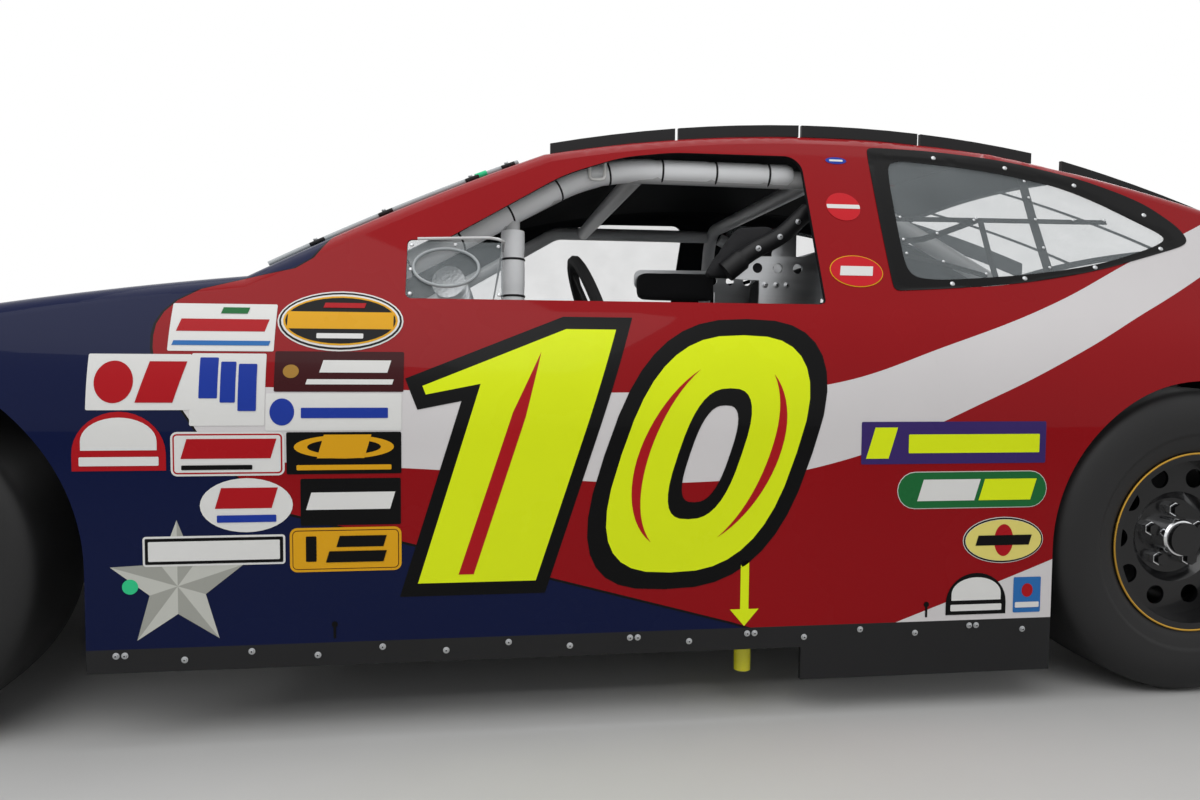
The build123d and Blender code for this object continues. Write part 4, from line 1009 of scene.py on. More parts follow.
class STOCKCAR_OT_window_trim(bpy.types.Operator):
    """Adds the black borders, rivets and braces of the windows"""
    bl_idname = "stock_car.window_trim"
    bl_label = "Window trim"

    def execute(self, context):
        for name, side in SIDES:
            panes = node_tree_of(
                "side_windows", f"sail_panel_{name}", f"side_panel_{name}", f"quarter_panel_{name}", "roof")
            beside = (0, -side, 0)
            outer = smooth_loop(QUARTER_GLASS, LOOP_POINTS, 0.42)
            inner = start_together(smooth_loop(QUARTER_CLEAR, LOOP_POINTS, 0.45), outer)
            bm = band(outer, inner, 6)
            press(bm, panes, beside, BORDER_OUT, BORDER_BODY)
            make_piece(f"quarter_border_{name}", bm, ["black"], 60)
            bm = bmesh.new()
            middle_loop = [a.lerp(b, 0.5) for a, b in zip(outer, inner)]
            for target in BORDER_RIVETS:
                near = min(middle_loop, key=lambda p: (p - Vector(target)).length)
                spot, out = side_point(panes, near.x, near.y, side)
                rivet(bm, spot + out * BORDER_OUT, out, sizes().rivet)
            straps = bmesh.new()
            for width, points, shares in STRAPS:
                flat = ribbon(points, width)
                press(flat, panes, beside, STRAP_IN, STRAP_BODY)
                merge_into(straps, flat)
                for share in shares:
                    near = along(points, share)
                    spot, out = side_point(panes, near.x, near.y, side)
                    rivet(bm, spot + out * 0.0004, out, sizes().rivet * 0.62)
            make_piece(f"quarter_straps_{name}", straps, ["black"], 40)
            make_piece(f"quarter_rivets_{name}", bm, ["zinc"], 40)
        return {"FINISHED"}


# Padding of the driver's side tubes along the cage: name, route, radius, step of the ties
PAD_ROUTES = (
    ("upper", [(0.40, -0.562, 1.203), (-0.08, -0.570, 1.204), (-0.43, -0.650, 1.006), (-0.55, -0.683, 0.940)],
     0.028, 0.135),
    ("upright", [(-0.280, -0.6367, 0.86), (-0.280, -0.6236, 1.045)], 0.027, 0.085),
)
PAD_BEND, PAD_STEP = 0.12, 0.012
PAD_END, PAD_NECK, NECK_REACH = 0.14, 0.07, 0.02
TIE_RADIUS, TIE_WIRE = 0.955, 0.0028


def rounded_route(points, reach):
    """A route whose corners are rounded, as a list of close points."""
    corners = [Vector(p) for p in points]
    route = [corners[0]]
    for before, corner, after in zip(corners, corners[1:], corners[2:]):
        start = corner + (before - corner).normalized() * reach
        stop = corner + (after - corner).normalized() * reach
        for k in range(9):
            t = k / 8
            route.append(start.lerp(corner, t).lerp(corner.lerp(stop, t), t))
    return route + [corners[-1]]


def even_route(route, step):
    """The same route with points at even steps."""
    result = [route[0]]
    spare = 0.0
    for a, b in zip(route, route[1:]):
        length = (b - a).length
        at = step - spare
        while at < length:
            result.append(a.lerp(b, at / length))
            at += step
        spare = length - (at - step)
    if (result[-1] - route[-1]).length > step * 0.3:
        result.append(route[-1])
    return result


def tube_along(route, radius, segments=24, swell=None):
    """A closed round tube along close points, its radius changed by a swell function of the distance."""
    part = bmesh.new()
    loops = []
    run = 0.0
    for i, spot in enumerate(route):
        ahead = (route[min(i + 1, len(route) - 1)] - route[max(i - 1, 0)]).normalized()
        run += (spot - route[i - 1]).length if i else 0.0
        size = radius * (swell(run) if swell else 1.0)
        turn = ahead.to_track_quat("Z", "Y").to_matrix().to_4x4()
        made = bmesh.ops.create_circle(part, cap_ends=i in (0, len(route) - 1), segments=segments, radius=size,
                                       matrix=Matrix.Translation(spot) @ turn)
        ring = made["verts"]
        loops.append([e for e in part.edges if e.verts[0] in ring and e.verts[1] in ring])
    for near, far in zip(loops, loops[1:]):
        bmesh.ops.bridge_loops(part, edges=near + far)
    bmesh.ops.recalc_face_normals(part, faces=part.faces[:])
    return part


def wire(points, reach, step, radius, segments, swell=None):
    """A round tube along points, with its corners rounded and its rings at even steps."""
    return tube_along(even_route(rounded_route(points, reach), step), radius, segments, swell)


def tube_ring(centre, axis, radius, wire_radius):
    """A round tie about a tube."""
    part = bmesh.new()
    place = Matrix.Translation((radius, 0, 0)) @ Matrix.Rotation(pi / 2, 4, "X")
    profile = bmesh.ops.create_circle(part, cap_ends=False, segments=8, radius=wire_radius, matrix=place)
    bmesh.ops.spin(part, geom=profile["verts"] + part.edges[:], cent=(0, 0, 0), axis=(0, 0, 1), angle=FULL_TURN,
                   steps=28, use_merge=True)
    bmesh.ops.remove_doubles(part, verts=part.verts[:], dist=1e-6)
    bmesh.ops.recalc_face_normals(part, faces=part.faces[:])
    return set_on(part, centre, axis)


class STOCKCAR_OT_cage_padding(bpy.types.Operator):
    """Wraps the driver's side tubes in pale foam with black ties"""
    bl_idname = "stock_car.cage_padding"
    bl_label = "Cage padding"

    def execute(self, context):
        for label, points, wall, tie_step in PAD_ROUTES:
            route = even_route(rounded_route(points, PAD_BEND), PAD_STEP)
            length = PAD_STEP * (len(route) - 1)

            def swell(run):
                """The foam's soft ends and the necks that the ties draw in."""
                near = min(run, length - run)
                soft = 1 - PAD_END * max(0.0, 1 - near / PAD_STEP) ** 2
                tie = abs(run % tie_step - tie_step / 2)
                return soft * (1 - PAD_NECK * max(0.0, 1 - tie / NECK_REACH) ** 2)

            bm = tube_along(route, wall, 28, swell)
            piece = make_piece(f"tube_pad_{label}", bm, ["foam_pale"], 60)
            bm = bmesh.new()
            every = round(tie_step / PAD_STEP)
            for i in range(every // 2, len(route) - 2, every):
                ahead = (route[i + 1] - route[i - 1]).normalized()
                merge_into(bm, tube_ring(route[i], ahead, wall * TIE_RADIUS, TIE_WIRE))
            make_piece(f"tube_ties_{label}", bm, ["black_trim"], 60)
        return {"FINISHED"}


# Soft pads of the seat
PAD_VOXEL = 0.007
PAD_FRAMES = 20
PAD_PRESSURE = 4.0
PAD_CAPS = (("seat_cushion", 0.020, 0.003), ("head_pad_left", 0.007, 0.002), ("head_pad_right", 0.007, 0.002))


def solids_of(node):
    """A CAD node's separate solids, largest first, as meshes with merged corners."""
    whole = bmesh.new()
    whole.from_mesh(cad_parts[node].data)
    bmesh.ops.remove_doubles(whole, verts=whole.verts[:], dist=1e-5)
    whole.faces.index_update()
    left, groups = set(whole.faces), []
    while left:
        queue = [left.pop()]
        group = {queue[0].index}
        while queue:
            for edge in queue.pop().edges:
                for face in edge.link_faces:
                    if face in left:
                        left.discard(face)
                        group.add(face.index)
                        queue.append(face)
        groups.append(group)
    parts = []
    for group in groups:
        part = whole.copy()
        part.faces.ensure_lookup_table()
        spare = [face for i, face in enumerate(part.faces) if i not in group]
        bmesh.ops.delete(part, geom=spare, context="FACES")
        parts.append(part)
    whole.free()
    return sorted(parts, key=lambda part: (-round(part.calc_volume(), 4), min(v.co.y for v in part.verts)))


def bake(piece):
    """The piece's mesh with its modifiers applied, in place of the old one."""
    graph = bpy.context.evaluated_depsgraph_get()
    mesh = bpy.data.meshes.new_from_object(piece.evaluated_get(graph))
    piece.modifiers.clear()
    piece.data = mesh


def inflate(piece, cap, shrink):
    """Blows a pad up as cloth under pressure, with its travel capped."""
    remesh = piece.modifiers.new("remesh", "REMESH")
    remesh.mode, remesh.voxel_size = "VOXEL", PAD_VOXEL
    bake(piece)
    mesh = piece.data
    normals = [v.normal.copy() for v in mesh.vertices]
    for vert, normal in zip(mesh.vertices, normals):
        vert.co -= normal * shrink
    start = [v.co.copy() for v in mesh.vertices]
    cloth = piece.modifiers.new("cloth", "CLOTH")
    cloth.settings.use_pressure = True
    cloth.settings.uniform_pressure_force = PAD_PRESSURE
    cloth.settings.effector_weights.gravity = 0.0
    cloth.point_cache.frame_end = PAD_FRAMES
    for step in range(1, PAD_FRAMES + 1):
        bpy.context.scene.frame_set(step)
    bake(piece)
    bpy.context.scene.frame_set(1)
    for vert, place_before in zip(piece.data.vertices, start):
        move = vert.co - place_before
        if move.length > cap:
            vert.co = place_before + move * (cap / move.length)
    smooth = piece.modifiers.new("smooth", "SUBSURF")
    smooth.levels = smooth.render_levels = 1
    bake(piece)
    piece.data.shade_smooth()


# Harness on the cushion: its webbing, where a shoulder strap runs from and to, where a lap strap runs, its buckle
SEAT_MIDDLE = -0.41
WEB_HALF, WEB_LIFT, WEB_BODY = 0.024, 0.003, 0.002
SHOULDER_ROWS, SHOULDER_SPREAD, SHOULDER_DRAW, SHOULDER_TOP, SHOULDER_DROP = 26, 0.095, 0.055, 0.90, 0.40
LAP_ROWS, LAP_X, LAP_BACK, LAP_START, LAP_LENGTH = 12, 0.145, 0.05, 0.02, 0.13
BUCKLE = ((0.010, 0.031, 0.012, 32, 0.002, 1), (0.017, 0.018, 0.004, 24, 0.001, 2))


class STOCKCAR_OT_seat_pads(bpy.types.Operator):
    """Stuffs the seat's cushion and head pads, and lays the harness on the cushion"""
    bl_idname = "stock_car.seat_pads"
    bl_label = "Seat pads and harness"

    def execute(self, context):
        pieces = []
        for (name, cap, shrink), part in zip(PAD_CAPS, solids_of("seat_padding")):
            piece = make_piece(name, part, ["padding"], None)
            inflate(piece, cap, shrink)
            if not piece.data.materials:
                piece.data.materials.append(finishes()["padding"])
            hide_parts("seat_padding")
            pieces.append(piece)
        mesh = pieces[0].data
        tree = BVHTree.FromPolygons([v.co for v in mesh.vertices], [list(p.vertices) for p in mesh.polygons])
        self.harness(tree)
        return {"FINISHED"}

    def harness(self, tree):
        """Two shoulder straps, two lap straps and the round buckle."""
        bm = bmesh.new()
        for lean in (-1, 1):
            rows = []
            for i in range(SHOULDER_ROWS):
                t = i / (SHOULDER_ROWS - 1)
                y = SEAT_MIDDLE + lean * (SHOULDER_SPREAD - SHOULDER_DRAW * t)
                z = SHOULDER_TOP - SHOULDER_DROP * t
                rows.append([(0, y + share * WEB_HALF, z) for share in (-1, -0.5, 0, 0.5, 1)])
            self.strap(bm, rows, tree, (1, 0, 0))
            rows = []
            for i in range(LAP_ROWS):
                y = SEAT_MIDDLE + lean * (LAP_START + LAP_LENGTH * i / (LAP_ROWS - 1))
                x = LAP_X + LAP_BACK * i / (LAP_ROWS - 1)
                rows.append([(x + share * WEB_HALF, y, 0) for share in (-1, 0, 1)])
            self.strap(bm, rows, tree, DOWN)
        stack(bm, *top_point(tree, LAP_X, SEAT_MIDDLE), BUCKLE)
        make_piece("harness", bm, ["webbing", "bare_steel", "bright_red"], 40)

    def strap(self, bm, rows, tree, way):
        """Presses rows of points onto the cushion as webbing."""
        flat = sheet(rows)
        press(flat, tree, way, WEB_LIFT, WEB_BODY)
        merge_into(bm, flat)


# Head support beside the driver, as (x, y, z), and its bolts by their share of the route
STRUT_ROUTE = [(0.222, -0.628, 0.962), (0.283, -0.634, 1.012), (0.355, -0.632, 1.048), (0.425, -0.618, 1.112)]
STRUT_RADIUS, STRUT_FOOT, STRUT_FOOT_LENGTH = 0.021, 1.25, 0.05
STRUT_BOLTS, STRUT_BOLT = (0.36, 0.58, 0.80), 0.011
LEG_BOLTS, LEG_BOLT = ((0.322, 0.934), (0.350, 0.934), (0.376, 0.934)), 0.012
FLANGE_BOLT = (
    (0.0006, 0.62, 0.0012, 20, 0.0003, 0), (0.0030, 0.42, 0.0045, 6, 0.0005, 0), (0.0054, 0.18, 0.0006, 12, 0, 1))
# The gusset and the net's bracket, as (x, z) points in a plane beside the seat
GUSSET = [(0.300, 0.996), (0.404, 0.998), (0.404, 1.062), (0.384, 1.066), (0.345, 1.022)]
GUSSET_Y, GUSSET_BEND, GUSSET_MIDDLE = -0.607, 1.6, 0.36
BRACKET = [(-0.102, 1.212), (-0.102, 1.172), (-0.066, 1.172), (-0.066, 1.212)]
BRACKET_Y = -0.612


class STOCKCAR_OT_head_support(bpy.types.Operator):
    """Adds the padded strut, the bright gusset, the bolts of the head bands and the net's bracket"""
    bl_idname = "stock_car.head_support"
    bl_label = "Head support"

    def execute(self, context):
        route = even_route(rounded_route(STRUT_ROUTE, 0.03), 0.006)
        bm = tube_along(route, STRUT_RADIUS, 24, lambda run: 1.0 if run > STRUT_FOOT_LENGTH else STRUT_FOOT)
        make_piece("head_strut", bm, ["black_trim"], 60)
        bm = bmesh.new()
        out = Vector((0, -1, 0))
        for share in STRUT_BOLTS:
            stack(bm, route[int(share * len(route))] + out * STRUT_RADIUS, out, FLANGE_BOLT, STRUT_BOLT)
        seat = node_tree_of("seat")
        for x, z in LEG_BOLTS:
            stack(bm, *surface_at(seat, (x, -FAR / 2, z), (0, 1, 0)), FLANGE_BOLT, LEG_BOLT)
        make_piece("head_bolts", bm, ["zinc", "black"], 40)
        bm = bmesh.new()
        bm.faces.new([bm.verts.new((x, GUSSET_Y, z)) for x, z in GUSSET])
        bmesh.ops.subdivide_edges(bm, edges=bm.edges[:], cuts=3, use_grid_fill=True)
        bmesh.ops.triangulate(bm, faces=bm.faces[:])
        for vert in bm.verts:
            vert.co.y += GUSSET_BEND * (vert.co.x - GUSSET_MIDDLE) ** 2
        bmesh.ops.solidify(bm, geom=bm.faces[:], thickness=0.002)
        make_piece("head_gusset", bm, ["sheet_aluminium"], 30)
        bm = wire([(x, BRACKET_Y, z) for x, z in BRACKET], 0.010, 0.003, 0.0042, 12)
        make_piece("net_bracket", bm, ["white"], 60)
        return {"FINISHED"}


# Vent pane: its wire handle, inlet rim, foil hose and rivets
VENT_WIRE = [(-0.485, 1.006), (-0.325, 1.012), (-0.304, 1.004), (-0.3015, 0.955)]
VENT_TOP, VENT_WIRE_OUT = 0.995, 0.009
INLET = (-0.425, 0.944, 0.135, 0.082)
HOSE = [(-0.425, -0.668, 0.925), (-0.412, -0.610, 0.905), (-0.395, -0.580, 0.850), (-0.405, -0.565, 0.760)]
HOSE_RIB, HOSE_RIB_STEP = 0.05, 0.0085
VENT_RIVETS = (
    (-0.498, 0.994), (-0.498, 0.888), (-0.316, 0.994), (-0.316, 0.888), (-0.407, 0.996), (-0.498, 0.940))


class STOCKCAR_OT_vent_fittings(bpy.types.Operator):
    """Adds the vent pane's handle, inlet rim, foil hose and rivets"""
    bl_idname = "stock_car.vent_fittings"
    bl_label = "Vent fittings"

    def execute(self, context):
        panes = node_tree_of("side_windows", "side_panel_left", "windshield_frame", "roof")
        handle = []
        for x, z in VENT_WIRE:
            spot, _ = side_point(panes, x, min(z, VENT_TOP), -1)
            handle.append((x, spot.y - VENT_WIRE_OUT, z))
        make_piece("vent_handle", wire(handle, 0.018, 0.004, 0.0032, 12), ["cage_paint"], 60)
        rim = []
        for x, z in oval(*INLET, 48):
            spot, out = side_point(panes, x, z, -1)
            rim.append(spot + out * 0.003)
        make_piece("vent_inlet_rim", tube_along(rim + rim[:1], 0.0035, 10), ["pane_edge"], 60)
        bm = wire(HOSE, 0.03, 0.0016, 0.036, 28, lambda run: 1.0 + HOSE_RIB * cos(FULL_TURN * run / HOSE_RIB_STEP))
        make_piece("vent_hose", bm, ["foil"], 60)
        bm = bmesh.new()
        for x, z in VENT_RIVETS:
            spot, out = side_point(panes, x, z, -1)
            rivet(bm, spot + out * 0.0003, out, 0.009)
        make_piece("vent_rivets", bm, ["zinc"], 40)
        return {"FINISHED"}


# Gauges on the dashboard: y, z, radius. Switches: y, in a row
GAUGES = (
    (-0.575, 0.812, 0.030), (-0.495, 0.812, 0.030), (-0.405, 0.818, 0.040), (-0.315, 0.812, 0.030),
    (-0.235, 0.812, 0.030))
TICKS, TICK_START, TICK_SPAN, POINTER = 9, -30, 240, 60
SWITCHES = (-0.165, -0.125, -0.085, -0.045, 0.010, 0.050)
SWITCH_Z, SWITCH_NUT = 0.815, ((0.002, 0.007, 0.004, 6, 0.0005, 0),)
LEVER_SHIFT, LEVER_WAY, LEVER = Vector((0.012, 0, 0.004)), (1, 0, 0.35), (0.0024, 0.020, 12, 0.0008)


class STOCKCAR_OT_gauges(bpy.types.Operator):
    """Adds round gauges and toggle switches to the dashboard"""
    bl_idname = "stock_car.gauges"
    bl_label = "Gauges"

    def execute(self, context):
        board = node_tree_of("dashboard")
        out = Vector((1, 0, 0))
        bm = bmesh.new()
        for y, z, radius in GAUGES:
            spot, _ = surface_at(board, (1, y, z), (-1, 0, 0))
            merge_into(bm, drum(spot + out * 0.004, out, radius, 0.008, 40, 0.001), 1)
            merge_into(bm, tube_ring(spot + out * 0.008, out, radius, 0.0028), 0)
            marks = [(TICK_START + TICK_SPAN * i / (TICKS - 1), 0.0085, 0.80, 0.18, 0.0015, 2) for i in range(TICKS)]
            for turn, lift, share, length, width, look in marks + [(POINTER, 0.0100, 0.32, 0.72, 0.002, 3)]:
                a = radians(turn)
                place = spot + out * lift + Vector((0, cos(a), sin(a))) * radius * share
                size = (0.001, radius * length, width)
                merge_into(bm, bevelled_block(place, size, Matrix.Rotation(a, 4, "X")), look)
            merge_into(bm, drum(spot + out * 0.0105, out, 0.004, 0.002, 16, 0.0004), 1)
        for y in SWITCHES:
            spot, _ = surface_at(board, (1, y, SWITCH_Z), (-1, 0, 0))
            stack(bm, spot, out, SWITCH_NUT)
            merge_into(bm, drum(spot + LEVER_SHIFT, LEVER_WAY, *LEVER), 0)
        make_piece("dash_gauges", bm, ["chrome", "black", "white", "bright_red"], 35)
        return {"FINISHED"}


# Engine bay, from the type: the block's top and front faces carry what follows
ENGINE_TOP, ENGINE_FRONT, ENGINE_MIDDLE = 0.78, -1.40, -1.13
COVER_Y, COVER_LIFT, COVER_LEAN = 0.222, 0.014, 20
# A cover's flange and box: height of the middle, size, bevel, finish. Its ribs, bolts and cap stand on them
COVER_BLOCKS = ((0, (0.475, 0.135, 0.020), 0.004, 1), (0.018, (0.455, 0.112, 0.036), 0.010, 0))
COVER_BOLTS, COVER_BOLT = (-0.19, -0.065, 0.065, 0.19), ((0.038, 0.009, 0.008, 6, 0.001, 2),)
RIB_SHIFT, RIB_Z, RIB_SIZE = 0.03, 0.037, (0.006, 0.100, 0.006)
OIL_CAP_X, OIL_CAP = 0.20, ((0.042, 0.020, 0.014, 24, 0.002, 2),)
VALLEY_LIFT, VALLEY_SIZE = 0.008, (0.43, 0.26, 0.026)
# Air cleaner and distributor, as drums on the engine's top
CLEANER = (
    (0.015, 0.070, 0.030, 40, 0.002, 0), (0.026, 0.180, 0.012, 72, 0.004, 0), (0.050, 0.165, 0.038, 72, 0.004, 1),
    (0.075, 0.180, 0.012, 72, 0.004, 2), (0.085, 0.012, 0.010, 6, 0.001, 0))
DISTRIBUTOR_X = -0.905
DISTRIBUTOR = ((0.020, 0.036, 0.040, 32, 0.003, 0), (0.050, 0.042, 0.026, 32, 0.006, 1))
SOCKET_RING, SOCKET_TOP = 0.030, 0.062
SOCKET = ((0, 0.007, 0.014, 12, 0.001, 1),)
PLUGS, PLUG_Y = (-1.33, -1.20, -1.07, -0.94), 0.304
LANE_Y, LANE_STEP = 0.288, 0.003
# Pulleys as y, z and radius: crankshaft, water pump, alternator
PULLEYS = ((0.0, 0.500, 0.080), (0.0, 0.680, 0.065), (0.195, 0.690, 0.034))
SHAFT_SHARE, GROOVE, FLANGE_UP, FLANGE_OUT, FLANGE_BODY = 0.35, 0.003, 0.004, 0.001, 0.003
PULLEY_NUT = (0.012, 0.010, 6, 0.001, 2)
ALTERNATOR = ((0.030, 0.056, 0.056, 40, 0.006, 0),)
BELT_X, BELT_WIDTH, BELT_BODY = -1.478, 0.022, 0.004
RADIATOR_X, RADIATOR_REAR = -2.209, -2.180
RADIATOR_HALF, RADIATOR_LOW, RADIATOR_HIGH = 0.33, 0.30, 0.62
RADIATOR_ROWS, ROW_SIZE = 26, (0.006, 2 * RADIATOR_HALF - 0.08, 0.0055)
TANK_Y, TANK_SIZE = RADIATOR_HALF - 0.020, (0.072, 0.048, RADIATOR_HIGH - RADIATOR_LOW + 0.008)
FILLER_CAP_Y, FILLER_CAP = RADIATOR_HALF - 0.030, ((0.008, 0.020, 0.014, 24, 0.003, 1),)
HOSES = (
    [(-1.405, 0.06, 0.745), (-1.600, 0.06, 0.745), (-1.950, 0.23, 0.650), (-2.178, 0.24, 0.570)],
    [(-1.405, -0.12, 0.450), (-1.600, -0.12, 0.450), (-2.000, -0.20, 0.440), (-2.178, -0.22, 0.440)])
HOSE_RADIUS, CLAMP_RADIUS, CLAMP_WIRE = 0.020, 0.0205, 0.0022


class STOCKCAR_OT_engine_bay(bpy.types.Operator):
    """Adds valve covers, air cleaner, ignition, belt drive, radiator rows and hoses"""
    bl_idname = "stock_car.engine_bay"
    bl_label = "Engine bay"

    def execute(self, context):
        self.covers()
        bm = bmesh.new()
        stack(bm, Vector((ENGINE_MIDDLE, 0, ENGINE_TOP)), UP, CLEANER)
        make_piece("air_cleaner", bm, ["chrome", "padding", "chrome"], 40)
        self.ignition()
        self.belt_drive()
        self.radiator()
        bm = bmesh.new()
        clamps = bmesh.new()
        for points in HOSES:
            route = even_route(rounded_route(points, 0.08), 0.012)
            merge_into(bm, tube_along(route, HOSE_RADIUS, 20))
            for near, far in ((route[2], route[3]), (route[-3], route[-2])):
                merge_into(clamps, tube_ring(near, (far - near).normalized(), CLAMP_RADIUS, CLAMP_WIRE))
        make_piece("coolant_hoses", bm, ["tyre"], 60)
        make_piece("hose_clamps", clamps, ["zinc"], 60)
        return {"FINISHED"}

    def covers(self):
        """The two leaning valve covers with ribs, bolts and a filler cap, and the plate between them."""
        bm = bmesh.new()
        for side in (-1, 1):
            lean = Matrix.Rotation(radians(-COVER_LEAN * side), 4, "X")
            centre = Vector((ENGINE_MIDDLE, COVER_Y * side, ENGINE_TOP + COVER_LIFT))
            for z, size, bevel, look in COVER_BLOCKS:
                merge_into(bm, bevelled_block(centre + lean @ Vector((0, 0, z)), size, lean, bevel), look)
            for x in COVER_BOLTS:
                spot = centre + lean @ Vector((x + RIB_SHIFT, 0, RIB_Z))
                merge_into(bm, bevelled_block(spot, RIB_SIZE, lean), 0)
                stack(bm, centre + lean @ Vector((x, 0, 0)), lean @ UP, COVER_BOLT)
            stack(bm, centre + lean @ Vector((OIL_CAP_X, 0, 0)), lean @ UP, OIL_CAP)
        valley = Vector((ENGINE_MIDDLE, 0, ENGINE_TOP + VALLEY_LIFT))
        merge_into(bm, bevelled_block(valley, VALLEY_SIZE, None, 0.008), 1)
        make_piece("valve_covers", bm, ["wheel_steel", "sheet_aluminium", "chrome"], 40)

    def ignition(self):
        """The distributor with a wire to each plug."""
        bm = bmesh.new()
        x = DISTRIBUTOR_X
        stack(bm, Vector((x, 0, ENGINE_TOP)), UP, DISTRIBUTOR)
        for side in (-1, 1):
            for i, plug in enumerate(PLUGS):
                a = side * radians(30 + 36 * i)
                spot = Vector((x - SOCKET_RING * cos(a), SOCKET_RING * sin(a), ENGINE_TOP + SOCKET_TOP))
                stack(bm, spot, UP, SOCKET)
                points = [spot, spot + UP * 0.026, (x + 0.01 + 0.008 * i, side * 0.20, ENGINE_TOP + 0.066),
                          (plug + 0.02, side * (LANE_Y + LANE_STEP * i), ENGINE_TOP + 0.022),
                          (plug, side * PLUG_Y, ENGINE_TOP - 0.05)]
                merge_into(bm, wire(points, 0.03, 0.012, 0.0038, 8), 1)
        make_piece("ignition", bm, ["sheet_aluminium", "bright_red"], 45)

    def belt_drive(self):
        """Three pulleys on their shafts, the alternator's body and the belt round them."""
        bm = bmesh.new()
        ahead = Vector((-1, 0, 0))
        edge, shaft = BELT_WIDTH / 2, ENGINE_FRONT - BELT_X
        for y, z, radius in PULLEYS:
            plate_of = (radius + FLANGE_UP, FLANGE_BODY, 48, 0.001, 0)
            stack(bm, Vector((BELT_X, y, z)), ahead, (
                (-shaft / 2, radius * SHAFT_SHARE, shaft, 24, 0.001, 0), (0, radius - GROOVE, BELT_WIDTH, 48, 0.001, 0),
                (edge + FLANGE_OUT, *plate_of), (-edge - FLANGE_OUT, *plate_of), (edge + 0.006, *PULLEY_NUT)))
        y, z, _ = PULLEYS[2]
        stack(bm, Vector((ENGINE_FRONT, y, z)), ahead, ALTERNATOR)
        rim = [spot for y, z, radius in PULLEYS for spot in oval(y, z, 2 * radius, 2 * radius, 48)]
        hull = [rim[i] for i in convex_hull_2d(rim)]
        inner = inset_outline(hull, BELT_BODY)
        loops = [[(BELT_X + x, *spot) for spot in loop]
                 for loop, x in ((hull, -edge), (hull, edge), (inner, edge), (inner, -edge))]
        belt = sheet(loops, closed=True, around=True)
        bmesh.ops.recalc_face_normals(belt, faces=belt.faces[:])
        merge_into(bm, belt, 1)
        make_piece("belt_drive", bm, ["sheet_aluminium", "tyre", "zinc"], 40)

    def radiator(self):
        """The radiator's end tanks, its rows of tubes and the filler cap."""
        bm = bmesh.new()
        tall = RADIATOR_HIGH - RADIATOR_LOW
        for side in (-1, 1):
            spot = (RADIATOR_X, side * TANK_Y, (RADIATOR_LOW + RADIATOR_HIGH) / 2)
            merge_into(bm, bevelled_block(spot, TANK_SIZE, None, 0.008), 0)
        for row in range(RADIATOR_ROWS):
            z = RADIATOR_LOW + tall * (row + 0.5) / RADIATOR_ROWS
            for shift in (-1, 1):
                spot = (RADIATOR_X + shift * (RADIATOR_REAR - RADIATOR_X), 0, z)
                merge_into(bm, bevelled_block(spot, ROW_SIZE), 0)
        stack(bm, Vector((RADIATOR_X, FILLER_CAP_Y, RADIATOR_HIGH)), UP, FILLER_CAP)
        make_piece("radiator_rows", bm, ["sheet_aluminium", "chrome"], 40)


# Lamps as outlines of (y, z), with their edges, bulbs as y and radius, and plates as y, z, width, height, corner
HEADLAMP = [
    (0.505, 0.535), (0.640, 0.520), (0.760, 0.535), (0.815, 0.565), (0.775, 0.598), (0.660, 0.606), (0.540, 0.588)]
HEADLAMP_EDGE = 0.007
BULBS, BULB_Z = ((0.590, 0.026), (0.665, 0.030)), 0.562
TURN_LAMP = (0.742, 0.566, 0.052, 0.030, 0.008)
TAIL_LAMP = [(0.430, 0.800), (0.720, 0.800), (0.800, 0.822), (0.800, 0.872), (0.720, 0.888), (0.430, 0.884)]
TAIL_LAMP_EDGE = 0.006
TAIL_LAMP_PLATES = ((0.505, 0.842, 0.110, 0.050, 0.010), (0.690, 0.842, 0.170, 0.018, 0.006))
# Slots by the skirt, as x, z: they are not cut but drawn as black films, a painted shade of their openings
SKIRT_SLOTS = ((-0.639, 0.222), (0.598, 0.223))
# Grille mesh: its area, where the nose is read and how far behind it the mesh stands
GRILLE_HALF, GRILLE_LOW, GRILLE_HIGH = 0.43, 0.24, 0.34
GRILLE_READ, GRILLE_IN, GRILLE_WIRE = 0.012, 0.016, 0.0016
# Pins as (x, y), and a pin's plate, stud, ring and screws
HOOD_PINS = ((-2.135, -0.52), (-2.135, -0.18), (-2.135, 0.18), (-2.135, 0.52))
DECK_PINS = ((2.365, -0.42), (2.365, 0.42))
PIN = ((0.0008, 0.024, 0.0016, 32, 0.0005, 0), (0.009, 0.0048, 0.018, 16, 0.001, 1))
PIN_SCREW, PIN_SCREW_RING = ((0.0020, 0.0022, 0.0012, 10, 0.0004, 1),), 0.017
PIN_RING, PIN_RING_WIRE, PIN_RING_UP = 0.010, 0.0011, 0.011
FILLER_SPOT = (1.86, 0.905)
FILLER = ((0.0015, 0.060, 0.003, 48, 0.001, 1), (0.006, 0.044, 0.009, 48, 0.002, 0))


def body_pin(bm, tree, x, y):
    """A quick-release pin: a plate, the stud's end and its ring."""
    spot, out = top_point(tree, x, y)
    stack(bm, spot, out, PIN)
    ring_at = spot + out * PIN_RING_UP + Vector((0.009, 0, 0))
    merge_into(bm, tube_ring(ring_at, (0, 1, 0), PIN_RING, PIN_RING_WIRE), 1)
    for i in range(3):
        a = FULL_TURN * i / 3
        stack(bm, spot + Vector((PIN_SCREW_RING * cos(a), PIN_SCREW_RING * sin(a), 0)), out, PIN_SCREW)


